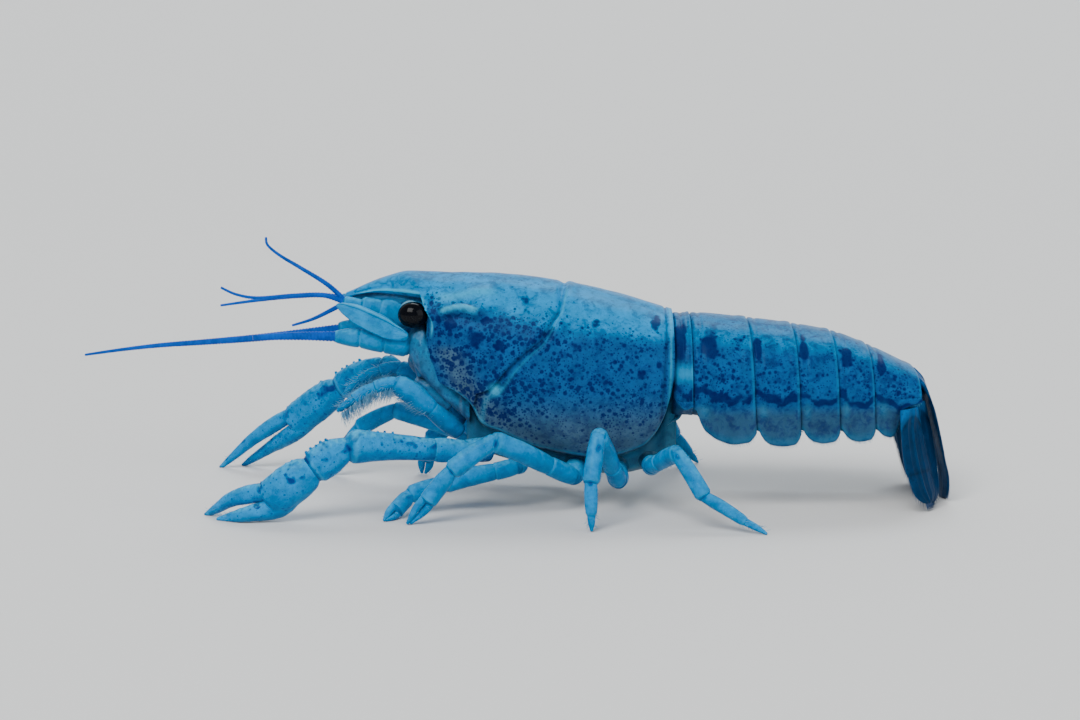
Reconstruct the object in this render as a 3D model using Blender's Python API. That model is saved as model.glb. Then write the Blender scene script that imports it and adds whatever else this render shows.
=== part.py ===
"""Everglades crayfish, life size, standing with its claws let down to the floor.

The head points along -X, the tail along +X and the left side along -Y.
Sizes in the tables are millimetres on the animal: X from the middle of the
shield, Y from the mid-plane, Z from the floor. MM turns them into metres.
Left sub-parts end in _l and right ones in _r.
"""
import math

import bmesh
import bpy
from mathutils import Vector

ROOT_NAME = "crayfish"
MM = 0.001
GAP = 0.3                       # space between a sub-part and the next one
HALF_GAP = GAP / 2

# Outermost points of the whole animal, which put the origin under its middle.
FEELER_TIP_X = -58.0
TAIL_REAR_X = 50.25
LEFT_REACH_Y = -20.0
RIGHT_REACH_Y = 19.9

# Shield: outline of its top, half-width, height of the widest place,
# and height and half-width of its lower edge, each along X.
SHIELD_TOP = ((-23.5, 25.5), (-21.8, 26.2), (-20.0, 27.0), (-18.2, 27.6), (-15.8, 28.1),
              (-12.1, 28.0), (-4.8, 27.8), (2.4, 26.9), (9.7, 25.3), (14.6, 23.8), (16.0, 23.4))
SHIELD_HALF_WIDTH = ((-23.5, 0.35), (-22.6, 0.7), (-21.8, 1.2), (-20.6, 1.35), (-18.6, 2.1),
                     (-16.6, 2.95), (-14.8, 3.65), (-13.5, 4.3), (-12.9, 6.3), (-9.0, 7.4),
                     (-5.0, 8.3), (0.0, 9.2), (6.0, 9.75), (11.0, 9.5), (14.0, 9.0), (16.0, 8.6))
SHIELD_WIDEST_Z = ((-23.5, 25.1), (-21.8, 25.8), (-18.6, 26.4), (-14.8, 26.2), (-13.5, 25.9),
                   (-12.9, 21.5), (-9.0, 19.4), (-5.0, 17.5), (0.0, 16.0), (6.0, 15.3),
                   (14.0, 15.6), (15.5, 16.4), (16.0, 18.0))
SHIELD_EDGE_Z = ((-23.5, 24.9), (-21.8, 25.3), (-20.0, 25.6), (-16.0, 25.4), (-13.5, 25.1),
                 (-12.9, 16.9), (-12.4, 16.2), (-9.5, 14.0), (-8.3, 12.9), (-7.2, 10.9),
                 (-4.8, 9.7), (0.0, 7.6), (7.2, 6.4), (11.9, 7.6), (14.3, 10.3), (15.5, 14.0),
                 (16.0, 16.5))
SHIELD_EDGE_Y = ((-23.5, 0.3), (-18.6, 1.5), (-14.8, 2.9), (-13.5, 3.4), (-12.9, 5.5),
                 (-9.0, 6.6), (-5.0, 6.9), (6.0, 6.4), (11.0, 6.6), (14.0, 7.4), (16.0, 8.3))
SHIELD_STATIONS = (-23.5, -22.6, -21.8, -20.6, -19.0, -17.2, -15.4, -14.2, -13.5, -12.9,
                   -12.2, -11.0, -9.0, -6.5, -4.0, -1.5, 0.6, 2.1, 3.0, 3.9, 5.5, 8.0,
                   10.5, 12.8, 14.4, 15.2, 15.5, 16.0)
SHIELD_SIDE_STEPS = 12
SHIELD_UPPER_SHARE = 0.58       # share of a side's arc above the widest place
LOWER_ARC = math.radians(70)
EDGE_RECESS = 0.6               # how far the underside lies above the lower edge
EDGE_LIP = 1.0                  # width of the lip left along the lower edge

# Neck groove: where it crosses the back, and how far ahead it runs down the side.
GROOVE_X = 3.0
GROOVE_DEPTH = 0.45
GROOVE_RUN = ((0.0, 0.0), (0.25, -0.8), (0.33, -1.8), (0.41, -2.9), (0.48, -4.8),
              (0.58, -7.0), (0.69, -8.5), (0.8, -10.5), (1.0, -10.9))
GROOVE_START_X = -12.4
GROOVE_END_X = 16.0
CHEEK_LEAD = 0.8                # how far the cheek reaches ahead of the eye socket
CHEEK_END_X = -9.0

BEAK_RIM_STEP = 5
BEAK_RIM_HEIGHT = 0.28
BEAK_RIM_SPAN = (-22.5, -6.0)
EYE_RIDGE_STEP = 4
EYE_RIDGE_HEIGHT = 0.35
EYE_RIDGE_SPAN = (-12.6, -4.5)
REAR_RIM_X = 15.2
REAR_RIM_DEPTH = 0.2

# Tail segments: front and rear of each, and the lower edge of its side lobe.
TAIL_TOP = ((16.3, 22.9), (18.5, 22.9), (24.3, 22.4), (30.6, 21.6), (35.4, 20.7),
            (39.9, 19.0), (43.9, 17.1), (45.8, 16.1))
TAIL_HALF_WIDTH = ((16.3, 8.1), (21.0, 8.4), (26.0, 8.2), (31.0, 7.9), (36.0, 7.4),
                   (40.0, 6.8), (45.8, 5.4))
TAIL_WIDEST_Z = 13.6
TAIL_BELLY_Z = ((16.3, 11.4), (40.0, 11.0), (43.0, 12.3), (45.8, 12.6))
TAIL_LEAN = ((16.3, 0.0), (25.0, 0.9), (45.8, 0.5))
TAIL_FULLNESS = 0.87            # under 1 fills the shoulders of the arch
TAIL_SEGMENTS = (
    (16.3, 18.1, ((0.0, 13.4), (0.5, 12.4), (1.0, 12.8))),
    (18.4, 25.0, ((0.0, 12.4), (0.14, 10.0), (0.34, 8.3), (0.6, 7.7), (0.85, 7.9), (1.0, 9.2))),
    (25.3, 30.4, ((0.0, 9.6), (0.14, 8.2), (0.3, 7.6), (0.55, 7.4), (0.85, 7.6), (1.0, 9.0))),
    (30.7, 35.2, ((0.0, 9.6), (0.14, 8.4), (0.3, 7.9), (0.55, 7.7), (0.85, 7.9), (1.0, 9.2))),
    (35.5, 39.6, ((0.0, 9.6), (0.14, 8.5), (0.3, 8.0), (0.55, 7.8), (0.85, 8.0), (1.0, 9.3))),
    (39.9, 45.5, ((0.0, 9.5), (0.14, 8.5), (0.3, 8.2), (0.42, 8.8), (0.54, 12.0), (1.0, 12.9))),
)
TAIL_STEPS = 10
SIDE_LOBE_THICKNESS = 0.75
OVERLAP_STEP = 0.35             # a segment's front sits this much lower than the rear ahead

# Swimmerets: reach of each pair from its root, and the two blades' place and spread.
SWIMMERET_REACH = ((-1.6, -0.2, -1.7), (3.6, 0.5, -2.0), (3.6, 0.5, -2.2), (3.5, 0.5, -2.1),
                   (3.3, 0.5, -2.0))
SWIMMERET_Y = 3.1
SWIMMERET_SPREAD = 0.55
SWIMMERET_WIDTH = 0.75
SWIMMERET_THICKNESS = 0.28

# Tail fan: middle line and half-width of each blade from its root to the floor.
TELSON_LINE = ((46.5, 0.0, 15.4), (47.2, 0.0, 12.0), (48.0, 0.0, 8.7), (48.7, 0.0, 5.5),
               (49.3, 0.0, 2.9), (49.4, 0.0, 0.0))
TELSON_WIDTH = ((0.0, 2.7), (0.3, 3.6), (0.6, 4.0), (0.66, 3.7), (0.85, 3.4), (1.0, 2.0))
INNER_BLADE_LINE = ((45.5, 3.1, 11.8), (46.1, 4.5, 7.5), (46.9, 5.0, 3.0), (47.4, 5.1, 0.5))
INNER_BLADE_WIDTH = ((0.0, 1.0), (0.3, 1.8), (0.65, 2.0), (0.88, 1.8), (1.0, 1.0))
OUTER_BLADE_LINE = ((44.6, 5.8, 11.4), (44.9, 6.9, 7.5), (45.6, 7.6, 3.0), (46.1, 7.7, 1.2))
OUTER_BLADE_WIDTH = ((0.0, 1.0), (0.2, 1.9), (0.62, 2.2), (0.68, 2.0), (0.88, 1.8), (1.0, 1.0))
BLADE_TILT = 0.88               # how far a side blade's outer edge swings forward
FAN_THICKNESS = 0.5
FAN_ROOT_THICKNESS = 1.2
FAN_RIB = 0.2
TELSON_CAMBER = 0.45            # how far the telson's side edges curve forward

# Eyes and the feelers beside them.
EYE_CENTRE = (-15.3, 4.7, 23.6)
EYE_RADII = (1.7, 1.5, 1.42)
EYE_CUT = 1.15                  # the ball is cut flat this far inside its centre
EYESTALK_ROOT = (-14.75, 1.0, 23.8)
EYESTALK_END = (-15.45, 3.2, 23.6)
EYESTALK_RADII = ((0.0, 0.85), (0.55, 0.95), (0.85, 1.25), (1.0, 1.4))
EYESTALK_LENGTH_RATIO = 1.18

SMALL_FEELER_BASE = ((-15.9, 1.35, 21.6), (-17.5, 1.4, 22.9), (-19.0, 1.45, 23.4), (-21.2, 1.45, 23.9),
                     (-23.6, 1.4, 24.4))
SMALL_FEELER_BASE_RADII = ((0.9, 0.75), (1.1, 1.6), (1.15, 1.55), (0.95, 1.1), (0.6, 0.65))
SMALL_FEELERS = {
    "l": (
        ((-23.6, -1.4, 24.4), (-25.6, -1.5, 26.6), (-28.9, -2.0, 28.8), (-31.2, -2.5, 30.3),
         (-32.6, -3.0, 31.6), (-32.8, -3.2, 32.6)),
        ((-23.6, -1.4, 24.4), (-26.0, -2.0, 25.4), (-29.5, -2.7, 25.5), (-33.8, -4.0, 25.4),
         (-36.3, -4.6, 25.9), (-38.1, -5.0, 26.8)),
    ),
    "r": (
        ((-23.6, 1.4, 24.4), (-26.2, 2.0, 24.8), (-30.0, 2.5, 24.6), (-34.6, 3.3, 24.0),
         (-39.4, 5.0, 23.1)),
        ((-23.6, 1.4, 24.4), (-25.6, 2.4, 22.9), (-28.0, 3.6, 21.6), (-30.6, 5.0, 20.6)),
    ),
}
SMALL_FEELER_RADIUS = 0.32
SMALL_FEELER_TIP_RADIUS = 0.16

FEELER_BASE = ((-15.9, 3.9, 19.5), (-18.6, 3.9, 20.1), (-21.6, 3.7, 20.5), (-24.6, 3.4, 20.6))
FEELER_BASE_RADII = (1.25, 1.45, 1.35, 0.8)
FEELER_LEFT = ((-24.9, -3.4, 20.6), (-28.0, -4.2, 20.8), (-31.2, -5.2, 20.9), (-34.3, -6.0, 20.9))
FEELER_LEFT_RADII = (0.6, 0.5, 0.42, 0.36)
FEELER_RIGHT = ((-24.9, 3.4, 20.4), (-30.0, 4.7, 19.6), (-35.6, 6.2, 18.8), (-41.5, 8.2, 18.0),
                (-47.8, 10.3, 17.2), (-53.0, 12.3, 16.3), (-58.0, 14.2, 15.3))
FEELER_RIGHT_RADII = (0.6, 0.48, 0.4, 0.34, 0.29, 0.25, 0.15)
FEELER_SPLIT = 3                # the right feeler is made in two lengths, cut at this point

SCALE_LINE = ((-15.9, 5.4, 20.8), (-19.0, 5.1, 22.2), (-22.0, 4.5, 23.5), (-24.4, 3.9, 24.5))
SCALE_WIDTH = ((0.0, 0.8), (0.3, 1.45), (0.65, 1.4), (0.9, 0.8), (1.0, 0.3))
SCALE_ACROSS = (0.12, -0.62, 0.77)
SCALE_THICKNESS = 0.5

# Mouth: a block under the cheeks, and the pair of hairy mouth legs before it.
MOUTH_TOP = ((-15.6, 20.9), (-15.2, 21.5), (-14.15, 21.9), (-13.95, 16.4), (-12.0, 15.3), (-9.3, 13.8))
MOUTH_BOTTOM = ((-15.6, 18.1), (-15.2, 17.3), (-14.0, 15.5), (-12.0, 13.4), (-9.3, 10.8))
MOUTH_HALF_WIDTH = ((-15.6, 4.6), (-15.2, 5.5), (-14.15, 6.3), (-13.95, 6.2), (-12.0, 5.6), (-9.3, 5.0))
MOUTH_STATIONS = (-15.6, -15.2, -14.7, -14.15, -13.95, -13.0, -12.0, -10.6, -9.3)
MOUTH_FULLNESS = 0.6            # 1 would make its rings ovals, 0 boxes
MOUTH_SIDES = 24
MOUTH_LEG = ((-9.9, 2.7, 8.8), (-13.2, 4.3, 12.0), (-17.3, 5.2, 15.3), (-20.8, 5.9, 14.6),
             (-24.3, 6.3, 12.0))
MOUTH_LEG_UPPER_RADII = ((0.0, 0.8, 0.9), (0.5, 0.9, 1.15), (1.0, 1.0, 1.3), (1.6, 0.9, 1.2),
                         (2.0, 0.65, 0.9))
MOUTH_LEG_LOWER_RADII = ((0.0, 0.6, 0.75), (0.4, 0.65, 0.75), (1.0, 0.55, 0.62),
                         (1.6, 0.42, 0.45), (2.0, 0.25, 0.28))
MOUTH_LEG_HAIRS = 9
MOUTH_LEG_HAIR_LENGTH = 1.5

# Underside between the legs: height of the leg roots and the keel along X.
ROOT_Z = ((-8.9, 7.6), (-6.5, 7.0), (-2.2, 5.8), (4.3, 4.8), (9.3, 4.5), (13.4, 5.2), (15.2, 6.4))
UNDERSIDE_STATIONS = (-8.9, -7.5, -6.0, -4.0, -2.0, 1.0, 4.5, 8.0, 11.0, 13.0, 14.2, 15.2)
UNDERSIDE_HALF_WIDTH = 4.5
UNDERSIDE_END_WIDTH = 3.3
UNDERSIDE_TAPER = (-6.0, 13.4)  # the plate narrows before and behind these places
UNDERSIDE_KEEL_WIDTH = 2.4
UNDERSIDE_DEPTH = 0.9           # how far the keel lies below the leg roots

# Limbs: joints from the root out, on the left side where the two sides match.
LIMB_ROOT_Y = UNDERSIDE_HALF_WIDTH + GAP
ARM_LEFT = ((-6.5, -LIMB_ROOT_Y, 7.0), (-9.0, -6.6, 7.2), (-22.6, -12.0, 8.9))
ARM_RIGHT = ((-6.5, LIMB_ROOT_Y, 7.0), (-9.3, 6.8, 8.2), (-19.9, 10.2, 14.7))
WRIST_LEFT = (-26.7, -12.9, 6.4)
WRIST_RIGHT = (-25.4, 12.4, 11.4)
PALM_END_LEFT = (-31.7, -13.0, 2.7)
PALM_END_RIGHT = (-31.6, 14.1, 6.5)
FINGER_LEFT = ((-36.4, -11.8, 2.5), (-39.9, -9.4, 0.0))
FINGER_RIGHT = ((-36.9, 15.6, 4.1), (-41.4, 17.0, 0.0))
THUMB_LEFT = ((-34.9, -13.3, 0.95), (-38.2, -12.0, 0.0))
THUMB_RIGHT = ((-35.0, 16.4, 2.7), (-38.7, 18.1, 0.0))
ARM_START_RADII = ((0.0, 1.5, 1.5), (0.55, 1.45, 1.45), (1.0, 1.3, 1.35))
ARM_RADII = ((1.5, 1.35, 1.45), (1.85, 1.55, 1.95), (1.95, 1.5, 2.05), (2.0, 1.2, 1.55))
WRIST_RADII = ((0.0, 1.05, 1.3), (0.2, 1.4, 1.85), (0.6, 1.55, 2.15), (0.9, 1.45, 2.1),
               (1.0, 1.2, 1.65))
PALM_RADII = ((0.0, 1.2, 1.6), (0.15, 1.55, 2.15), (0.5, 1.75, 2.35), (0.85, 1.6, 2.3),
              (1.0, 1.4, 2.15))
FINGER_ROOT_RISE = 1.22         # finger above and thumb below the middle of the palm's end
THUMB_ROOT_DROP = 1.2
THUMB_ROOT_DEPTH = 0.6
THUMB_SIZE = 0.8
CLAW_SCALE_RIGHT = 0.88

LEGS = {
    "leg1_l": ((-2.2, -LIMB_ROOT_Y, 5.8), (-2.9, -6.6, 5.3), (-11.3, -8.0, 3.5), (-15.5, -9.6, 2.5),
               (-18.3, -13.0, 0.0)),
    "leg2_l": ((4.3, -LIMB_ROOT_Y, 4.8), (3.9, -7.6, 4.3), (-5.4, -12.7, 9.7), (-10.4, -14.0, 6.4),
               (-15.4, -14.5, 0.0)),
    "leg3_l": ((9.3, -LIMB_ROOT_Y, 4.5), (9.4, -8.0, 3.9), (6.8, -14.2, 10.6), (5.9, -17.0, 5.7),
               (6.0, -18.0, 0.0)),
    "leg4_l": ((13.4, -LIMB_ROOT_Y, 5.2), (13.3, -8.6, 5.8), (16.1, -14.2, 8.5), (19.1, -17.0, 4.0),
               (26.2, -19.4, 0.0)),
    "leg1_r": ((-2.2, LIMB_ROOT_Y, 5.8), (-4.6, 7.2, 4.9), (-18.3, 10.4, 8.9), (-23.0, 11.2, 6.4),
               (-26.6, 12.2, 0.0)),
    "leg2_r": ((4.3, LIMB_ROOT_Y, 4.8), (2.6, 7.4, 4.4), (-9.8, 11.6, 8.2), (-14.0, 12.2, 4.6),
               (-14.9, 12.8, 0.0)),
    "leg3_r": ((9.3, LIMB_ROOT_Y, 4.5), (9.6, 8.0, 3.9), (9.0, 14.4, 10.4), (9.8, 17.2, 5.6),
               (10.8, 18.2, 0.0)),
    "leg4_r": ((13.4, LIMB_ROOT_Y, 5.2), (13.6, 8.4, 5.6), (15.4, 14.2, 8.6), (17.4, 17.4, 4.2),
               (20.6, 19.4, 0.0)),
}
LEG_UPPER_RADII = ((0.0, 1.15), (0.6, 0.95), (1.0, 0.95), (1.35, 1.0), (1.75, 1.08), (1.93, 1.0),
                   (2.0, 0.85))
LEG_LOWER_RADII = ((0.0, 0.8), (0.2, 0.92), (0.75, 1.0), (1.0, 0.85), (1.25, 0.9), (1.6, 0.82),
                   (1.8, 0.66), (2.0, 0.34))
PINCER_LEG_RADII = ((0.0, 0.8), (0.2, 0.95), (0.75, 1.05), (1.0, 0.9), (1.2, 1.05), (1.45, 1.1),
                    (1.6, 0.9))
PINCER_LEGS = ("leg1", "leg2")
PINCER_START = 1.5              # its two fingers start at this place along the lower leg
PINCER_RADIUS = 0.5
PINCER_SPREAD = 0.47
LEG_SIZE = {"leg1": 1.04, "leg2": 1.12, "leg3": 1.1, "leg4": 0.97}
LEG_SIDES = 10
CLAW_SIDES = 14
FOOT_RADIUS = 0.3               # flat on which a finger or a foot rests

# Colour, roughness and metallic value of each kind of surface.
SHELL = ((0.03, 0.27, 0.55), 0.32, 0.0)
CLAW = ((0.04, 0.32, 0.62), 0.33, 0.0)
LEG = ((0.09, 0.38, 0.65), 0.38, 0.0)
BELLY = ((0.36, 0.47, 0.52), 0.5, 0.0)
EYE = ((0.004, 0.004, 0.006), 0.08, 0.0)
FEELER = ((0.03, 0.2, 0.6), 0.38, 0.0)
FAN = ((0.012, 0.06, 0.16), 0.4, 0.0)


def curve(x, points):
    """Height at x of a smooth line through a few (place, height) points."""
    if x <= points[0][0]:
        return points[0][1]
    if x >= points[-1][0]:
        return points[-1][1]
    i = max(k for k in range(len(points) - 1) if points[k][0] <= x)
    x0, y0 = points[i]
    x1, y1 = points[i + 1]
    slope = (y1 - y0) / (x1 - x0)
    slopes = []
    for k in (i, i + 1):
        if k == 0 or k == len(points) - 1:
            slopes.append(slope)
            continue
        back = (points[k][1] - points[k - 1][1]) / (points[k][0] - points[k - 1][0])
        ahead = (points[k + 1][1] - points[k][1]) / (points[k + 1][0] - points[k][0])
        slopes.append(0.0 if back * ahead <= 0 else 2 * back * ahead / (back + ahead))
    width = x1 - x0
    t = (x - x0) / width
    return ((1 + 2 * t) * (1 - t) ** 2 * y0 + t * (1 - t) ** 2 * width * slopes[0]
            + t * t * (3 - 2 * t) * y1 + t * t * (t - 1) * width * slopes[1])


def smooth(x):
    """Ease from 0 to 1 as x runs from 0 to 1."""
    x = min(max(x, 0.0), 1.0)
    return x * x * (3 - 2 * x)


def within(x, span, fade=1.5):
    """1 inside the span, easing to 0 at its ends."""
    return smooth((x - span[0]) / fade) * smooth((span[1] - x) / fade)


def mirrored(points, side):
    """Points given for the right side, on the side asked for: -1 left, 1 right."""
    return [Vector((x, y * side, z)) for x, y, z in points]


def make_object(name, vertices, faces, surface):
    """A closed mesh object with its own material, in place under the root."""
    mesh = bpy.data.meshes.new(name)
    mesh.from_pydata([Vector(v) * MM for v in vertices], [], faces)
    work = bmesh.new()
    work.from_mesh(mesh)
    bmesh.ops.recalc_face_normals(work, faces=work.faces)
    work.to_mesh(mesh)
    work.free()
    obj = bpy.data.objects.new(name, mesh)
    bpy.context.scene.collection.objects.link(obj)
    paint(obj, surface)
    obj.parent = bpy.data.objects[ROOT_NAME]
    return obj


def paint(obj, surface):
    """Give the object a material of its own and shade it smooth."""
    colour, roughness, metallic = surface
    material = bpy.data.materials.new(obj.name)
    material.use_nodes = True
    shader = material.node_tree.nodes["Principled BSDF"]
    shader.inputs["Base Color"].default_value = (*colour, 1.0)
    shader.inputs["Roughness"].default_value = roughness
    shader.inputs["Metallic"].default_value = metallic
    obj.data.materials.clear()
    obj.data.materials.append(material)
    shade(obj)


def shade(obj):
    """Smooth the round stretches and keep the corners sharp."""
    obj.data.polygons.foreach_set("use_smooth", [True] * len(obj.data.polygons))
    obj.data.set_sharp_from_angle(angle=math.radians(42))


def skin(rings):
    """Vertices and faces of a run of rings with the same number of points."""
    count = len(rings[0])
    vertices = [point for ring in rings for point in ring]
    faces = []
    for i in range(len(rings) - 1):
        for j in range(count):
            k = (j + 1) % count
            faces.append((i * count + j, i * count + k, (i + 1) * count + k, (i + 1) * count + j))
    faces.append(tuple(reversed(range(count))))
    last = (len(rings) - 1) * count
    faces.append(tuple(range(last, last + count)))
    return vertices, faces


def ring_at(centre, normal, side_axis, wide, tall, sides):
    """Points of an oval round a centre, in the plane across the normal."""
    normal = normal.normalized()
    up = side_axis.cross(normal).normalized()
    side = normal.cross(up).normalized()
    points = []
    for k in range(sides):
        angle = 2 * math.pi * k / sides
        points.append(centre + side * (wide * math.cos(angle)) + up * (tall * math.sin(angle)))
    return points


def bend_axis(joints):
    """The direction a limb bends about, level with its side."""
    first = joints[1] - joints[0]
    axis = Vector((0.0, 0.0, 0.0))
    for a, b in zip(joints[1:], joints[2:]):
        turn = first.cross(b - a)
        if turn.length > axis.length:
            axis = turn
        first = b - a
    return axis.normalized() if axis.length > 1e-6 else Vector((0.0, 1.0, 0.0))


def crowds(centre, radius, joint, plane_normal, direction):
    """Whether a ring would cross the slanting plane in which its limb ends."""
    if plane_normal is None:
        return False
    lean = max(plane_normal.dot(direction), 0.3)
    return (centre - joint).length < radius * math.sqrt(1 / lean ** 2 - 1) + 0.05


def limb_rings(joints, radii, axis, sides, first_normal=None, last_normal=None):
    """Rings along a jointed line; radii are (place, wide[, tall]) with place 1 at joint 1."""
    directions = [(b - a).normalized() for a, b in zip(joints, joints[1:])]
    ends = ((joints[0], first_normal, directions[0]), (joints[-1], last_normal, directions[-1]))
    rings = []
    for place, wide, *rest in radii:
        tall = rest[0] if rest else wide
        i = min(int(place), len(directions) - 1)
        share = place - i
        centre = joints[i].lerp(joints[i + 1], share)
        normal = directions[i]
        if 0.0 < place < radii[-1][0] and any(
                crowds(centre, max(wide, tall), *end) for end in ends):
            continue
        if place == 0.0:
            normal = first_normal or normal
        elif share == 1.0:
            normal = last_normal or normal
        elif share == 0.0:
            normal = (directions[i - 1] + directions[i]).normalized()
            tall = tall / max(normal.dot(directions[i]), 0.75)
        rings.append(ring_at(centre, normal, axis, wide, tall, sides))
    return rings


def joint_normal(before, at, after):
    """Normal of the plane where two lengths of a limb meet."""
    return ((at - before).normalized() + (after - at).normalized()).normalized()


def cut_at(joint, normal, step):
    """The joint moved half a gap along the normal of the plane where two lengths meet."""
    return joint + normal * (HALF_GAP * step)


def separate(mesh):
    """Keep the largest closed surface of a mesh."""
    work = bmesh.new()
    work.from_mesh(mesh)
    left = set(work.faces)
    islands = []
    while left:
        stack = [left.pop()]
        island = set(stack)
        while stack:
            for edge in stack.pop().edges:
                for face in edge.link_faces:
                    if face in left:
                        left.discard(face)
                        island.add(face)
                        stack.append(face)
        islands.append(island)
    islands.sort(key=len, reverse=True)
    small = [face for island in islands[1:] for face in island]
    bmesh.ops.delete(work, geom=small, context="FACES")
    work.to_mesh(mesh)
    work.free()


def fuse(obj, pieces):
    """Join closed pieces to the sub-part that they grow from, as one closed surface."""
    group = bpy.data.collections.new("grown pieces")
    for piece in pieces:
        group.objects.link(piece)
    union = obj.modifiers.new("grow", "BOOLEAN")
    union.operation = "UNION"
    union.operand_type = "COLLECTION"
    union.solver = "EXACT"
    union.collection = group
    bpy.context.view_layer.update()
    ready = obj.evaluated_get(bpy.context.evaluated_depsgraph_get())
    mesh = bpy.data.meshes.new_from_object(ready)
    obj.modifiers.clear()
    old = obj.data
    material = old.materials[0]
    obj.data = mesh
    mesh.materials.clear()
    mesh.materials.append(material)
    mesh.polygons.foreach_set("material_index", [0] * len(mesh.polygons))
    bpy.data.meshes.remove(old)
    for piece in list(pieces):
        bpy.data.objects.remove(piece)
    bpy.data.collections.remove(group)
    separate(mesh)
    shade(obj)


def plate(line, widths, across, thickness, root_thickness, rib, steps=(8, 8), camber=0.0):
    """A thin blade along a line; both faces are split into the same triangles."""
    along, over = steps
    line = [Vector(p) for p in line]
    lengths = [0.0]
    for a, b in zip(line, line[1:]):
        lengths.append(lengths[-1] + (b - a).length)
    tracks = [[(s / lengths[-1], p[k]) for s, p in zip(lengths, line)] for k in range(3)]
    vertices = []
    for face in (1, -1):
        for i in range(along + 1):
            v = i / along
            centre = Vector([curve(v, track) for track in tracks])
            ahead = Vector([curve(min(v + 0.02, 1.0), track) for track in tracks])
            back = Vector([curve(max(v - 0.02, 0.0), track) for track in tracks])
            normal = (ahead - back).cross(across).normalized()
            half = curve(v, widths)
            body = thickness + (root_thickness - thickness) * (1 - smooth(v / 0.3))
            for j in range(over + 1):
                u = 2 * j / over - 1
                depth = body * (1 - 0.55 * u * u) / 2
                depth += rib * max(0.0, 1 - abs(u) * over / 2) * (1 - v * 0.6)
                offset = face * depth + camber * u * u * smooth(v * 3)
                point = centre + across * (half * u) + normal * offset
                if i == along:
                    point.z = centre.z
                vertices.append(point)
    count = (along + 1) * (over + 1)
    faces = []
    for i in range(along):
        for j in range(over):
            a = i * (over + 1) + j
            b, c, d = a + 1, a + over + 2, a + over + 1
            faces += [(a, b, c), (a, c, d)]
            faces += [(count + a, count + c, count + b), (count + a, count + d, count + c)]
    rim = [j for j in range(over)]
    rim += [i * (over + 1) + over for i in range(along)]
    rim += [along * (over + 1) + j for j in range(over, 0, -1)]
    rim += [i * (over + 1) for i in range(along, 0, -1)]
    for a, b in zip(rim, rim[1:] + rim[:1]):
        faces += [(b, a, count + a), (b, count + a, count + b)]
    return vertices, faces


def shield_section(x, share):
    """Half-width and height of the shield at x, share 0 on the back to 1 at the edge."""
    top = curve(x, SHIELD_TOP)
    half = curve(x, SHIELD_HALF_WIDTH)
    widest = curve(x, SHIELD_WIDEST_Z)
    edge_z = curve(x, SHIELD_EDGE_Z)
    edge_y = curve(x, SHIELD_EDGE_Y)
    if share <= SHIELD_UPPER_SHARE:
        angle = share / SHIELD_UPPER_SHARE * math.pi / 2
        return half * math.sin(angle), widest + (top - widest) * math.cos(angle)
    angle = (share - SHIELD_UPPER_SHARE) / (1 - SHIELD_UPPER_SHARE) * LOWER_ARC
    inward = (1 - math.cos(angle)) / (1 - math.cos(LOWER_ARC))
    down = math.sin(angle) / math.sin(LOWER_ARC)
    return half - (half - edge_y) * inward, widest - (widest - edge_z) * down


def groove_shift(station, share):
    """How far a station's line is swung forward so that one line follows the groove."""
    if station < GROOVE_X:
        pull = (station - GROOVE_START_X) / (GROOVE_X - GROOVE_START_X)
    else:
        pull = (GROOVE_END_X - station) / (GROOVE_END_X - GROOVE_X)
    return max(pull, 0.0) * curve(share, GROOVE_RUN)


def shield_relief(station, step):
    """Rise of the ridges and fall of the grooves at a point of the shield."""
    rise = 0.0
    if station == GROOVE_X and step < SHIELD_SIDE_STEPS:
        rise -= GROOVE_DEPTH * smooth(step / 1.5 + 0.4)
    if step == BEAK_RIM_STEP:
        rise += BEAK_RIM_HEIGHT * within(station, BEAK_RIM_SPAN)
    if step == EYE_RIDGE_STEP:
        rise += EYE_RIDGE_HEIGHT * within(station, EYE_RIDGE_SPAN)
    if station == REAR_RIM_X and step < SHIELD_SIDE_STEPS:
        rise -= REAR_RIM_DEPTH
    return rise


def shield_point(station, step, side):
    """One point of the shield's outside."""
    share = step / SHIELD_SIDE_STEPS
    x = station + groove_shift(station, share)
    y, z = shield_section(x, share)
    middle = Vector((0.0, curve(x, SHIELD_WIDEST_Z)))
    outward = Vector((y, z)) - middle
    if outward.length > 0:
        outward.normalize()
    y += outward.x * shield_relief(station, step)
    z += outward.y * shield_relief(station, step)
    lead = CHEEK_LEAD * smooth((share - 0.5) / 0.4)
    lead *= smooth((CHEEK_END_X - x) / (CHEEK_END_X + 12.9)) if station >= -12.9 else 0.0
    return Vector((x - lead, side * y, z))


def build_shield():
    """Shield over head and chest, drawn out ahead into the beak."""
    rings = []
    for station in SHIELD_STATIONS:
        ring = [shield_point(station, step, -1) for step in range(SHIELD_SIDE_STEPS, 0, -1)]
        ring += [shield_point(station, step, 1) for step in range(SHIELD_SIDE_STEPS + 1)]
        edge = ring[-1]
        ease = min(edge.y / 6.0, 1.0)
        inner_y = edge.y - EDGE_LIP * ease
        inner_z = edge.z + EDGE_RECESS * ease
        ring += [Vector((edge.x, inner_y * k, inner_z)) for k in (1, 0.5, 0, -0.5, -1)]
        rings.append(ring)
    make_object("shield", *skin(rings), SHELL)


def tail_section(x, share, edge_z):
    """Half-width and height of a tail segment at x, share 0 on the back to 1 at the edge."""
    top = curve(x, TAIL_TOP)
    half = curve(x, TAIL_HALF_WIDTH)
    widest = max(min(TAIL_WIDEST_Z, top - 2.5), edge_z + 0.4)
    if share <= 0.7:
        angle = share / 0.7 * math.pi / 2
        y = half * math.sin(angle) ** TAIL_FULLNESS
        return y, widest + (top - widest) * math.cos(angle) ** TAIL_FULLNESS
    down = (share - 0.7) / 0.3
    return half * (1 - 0.03 * down * down), widest - (widest - edge_z) * down


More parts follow.
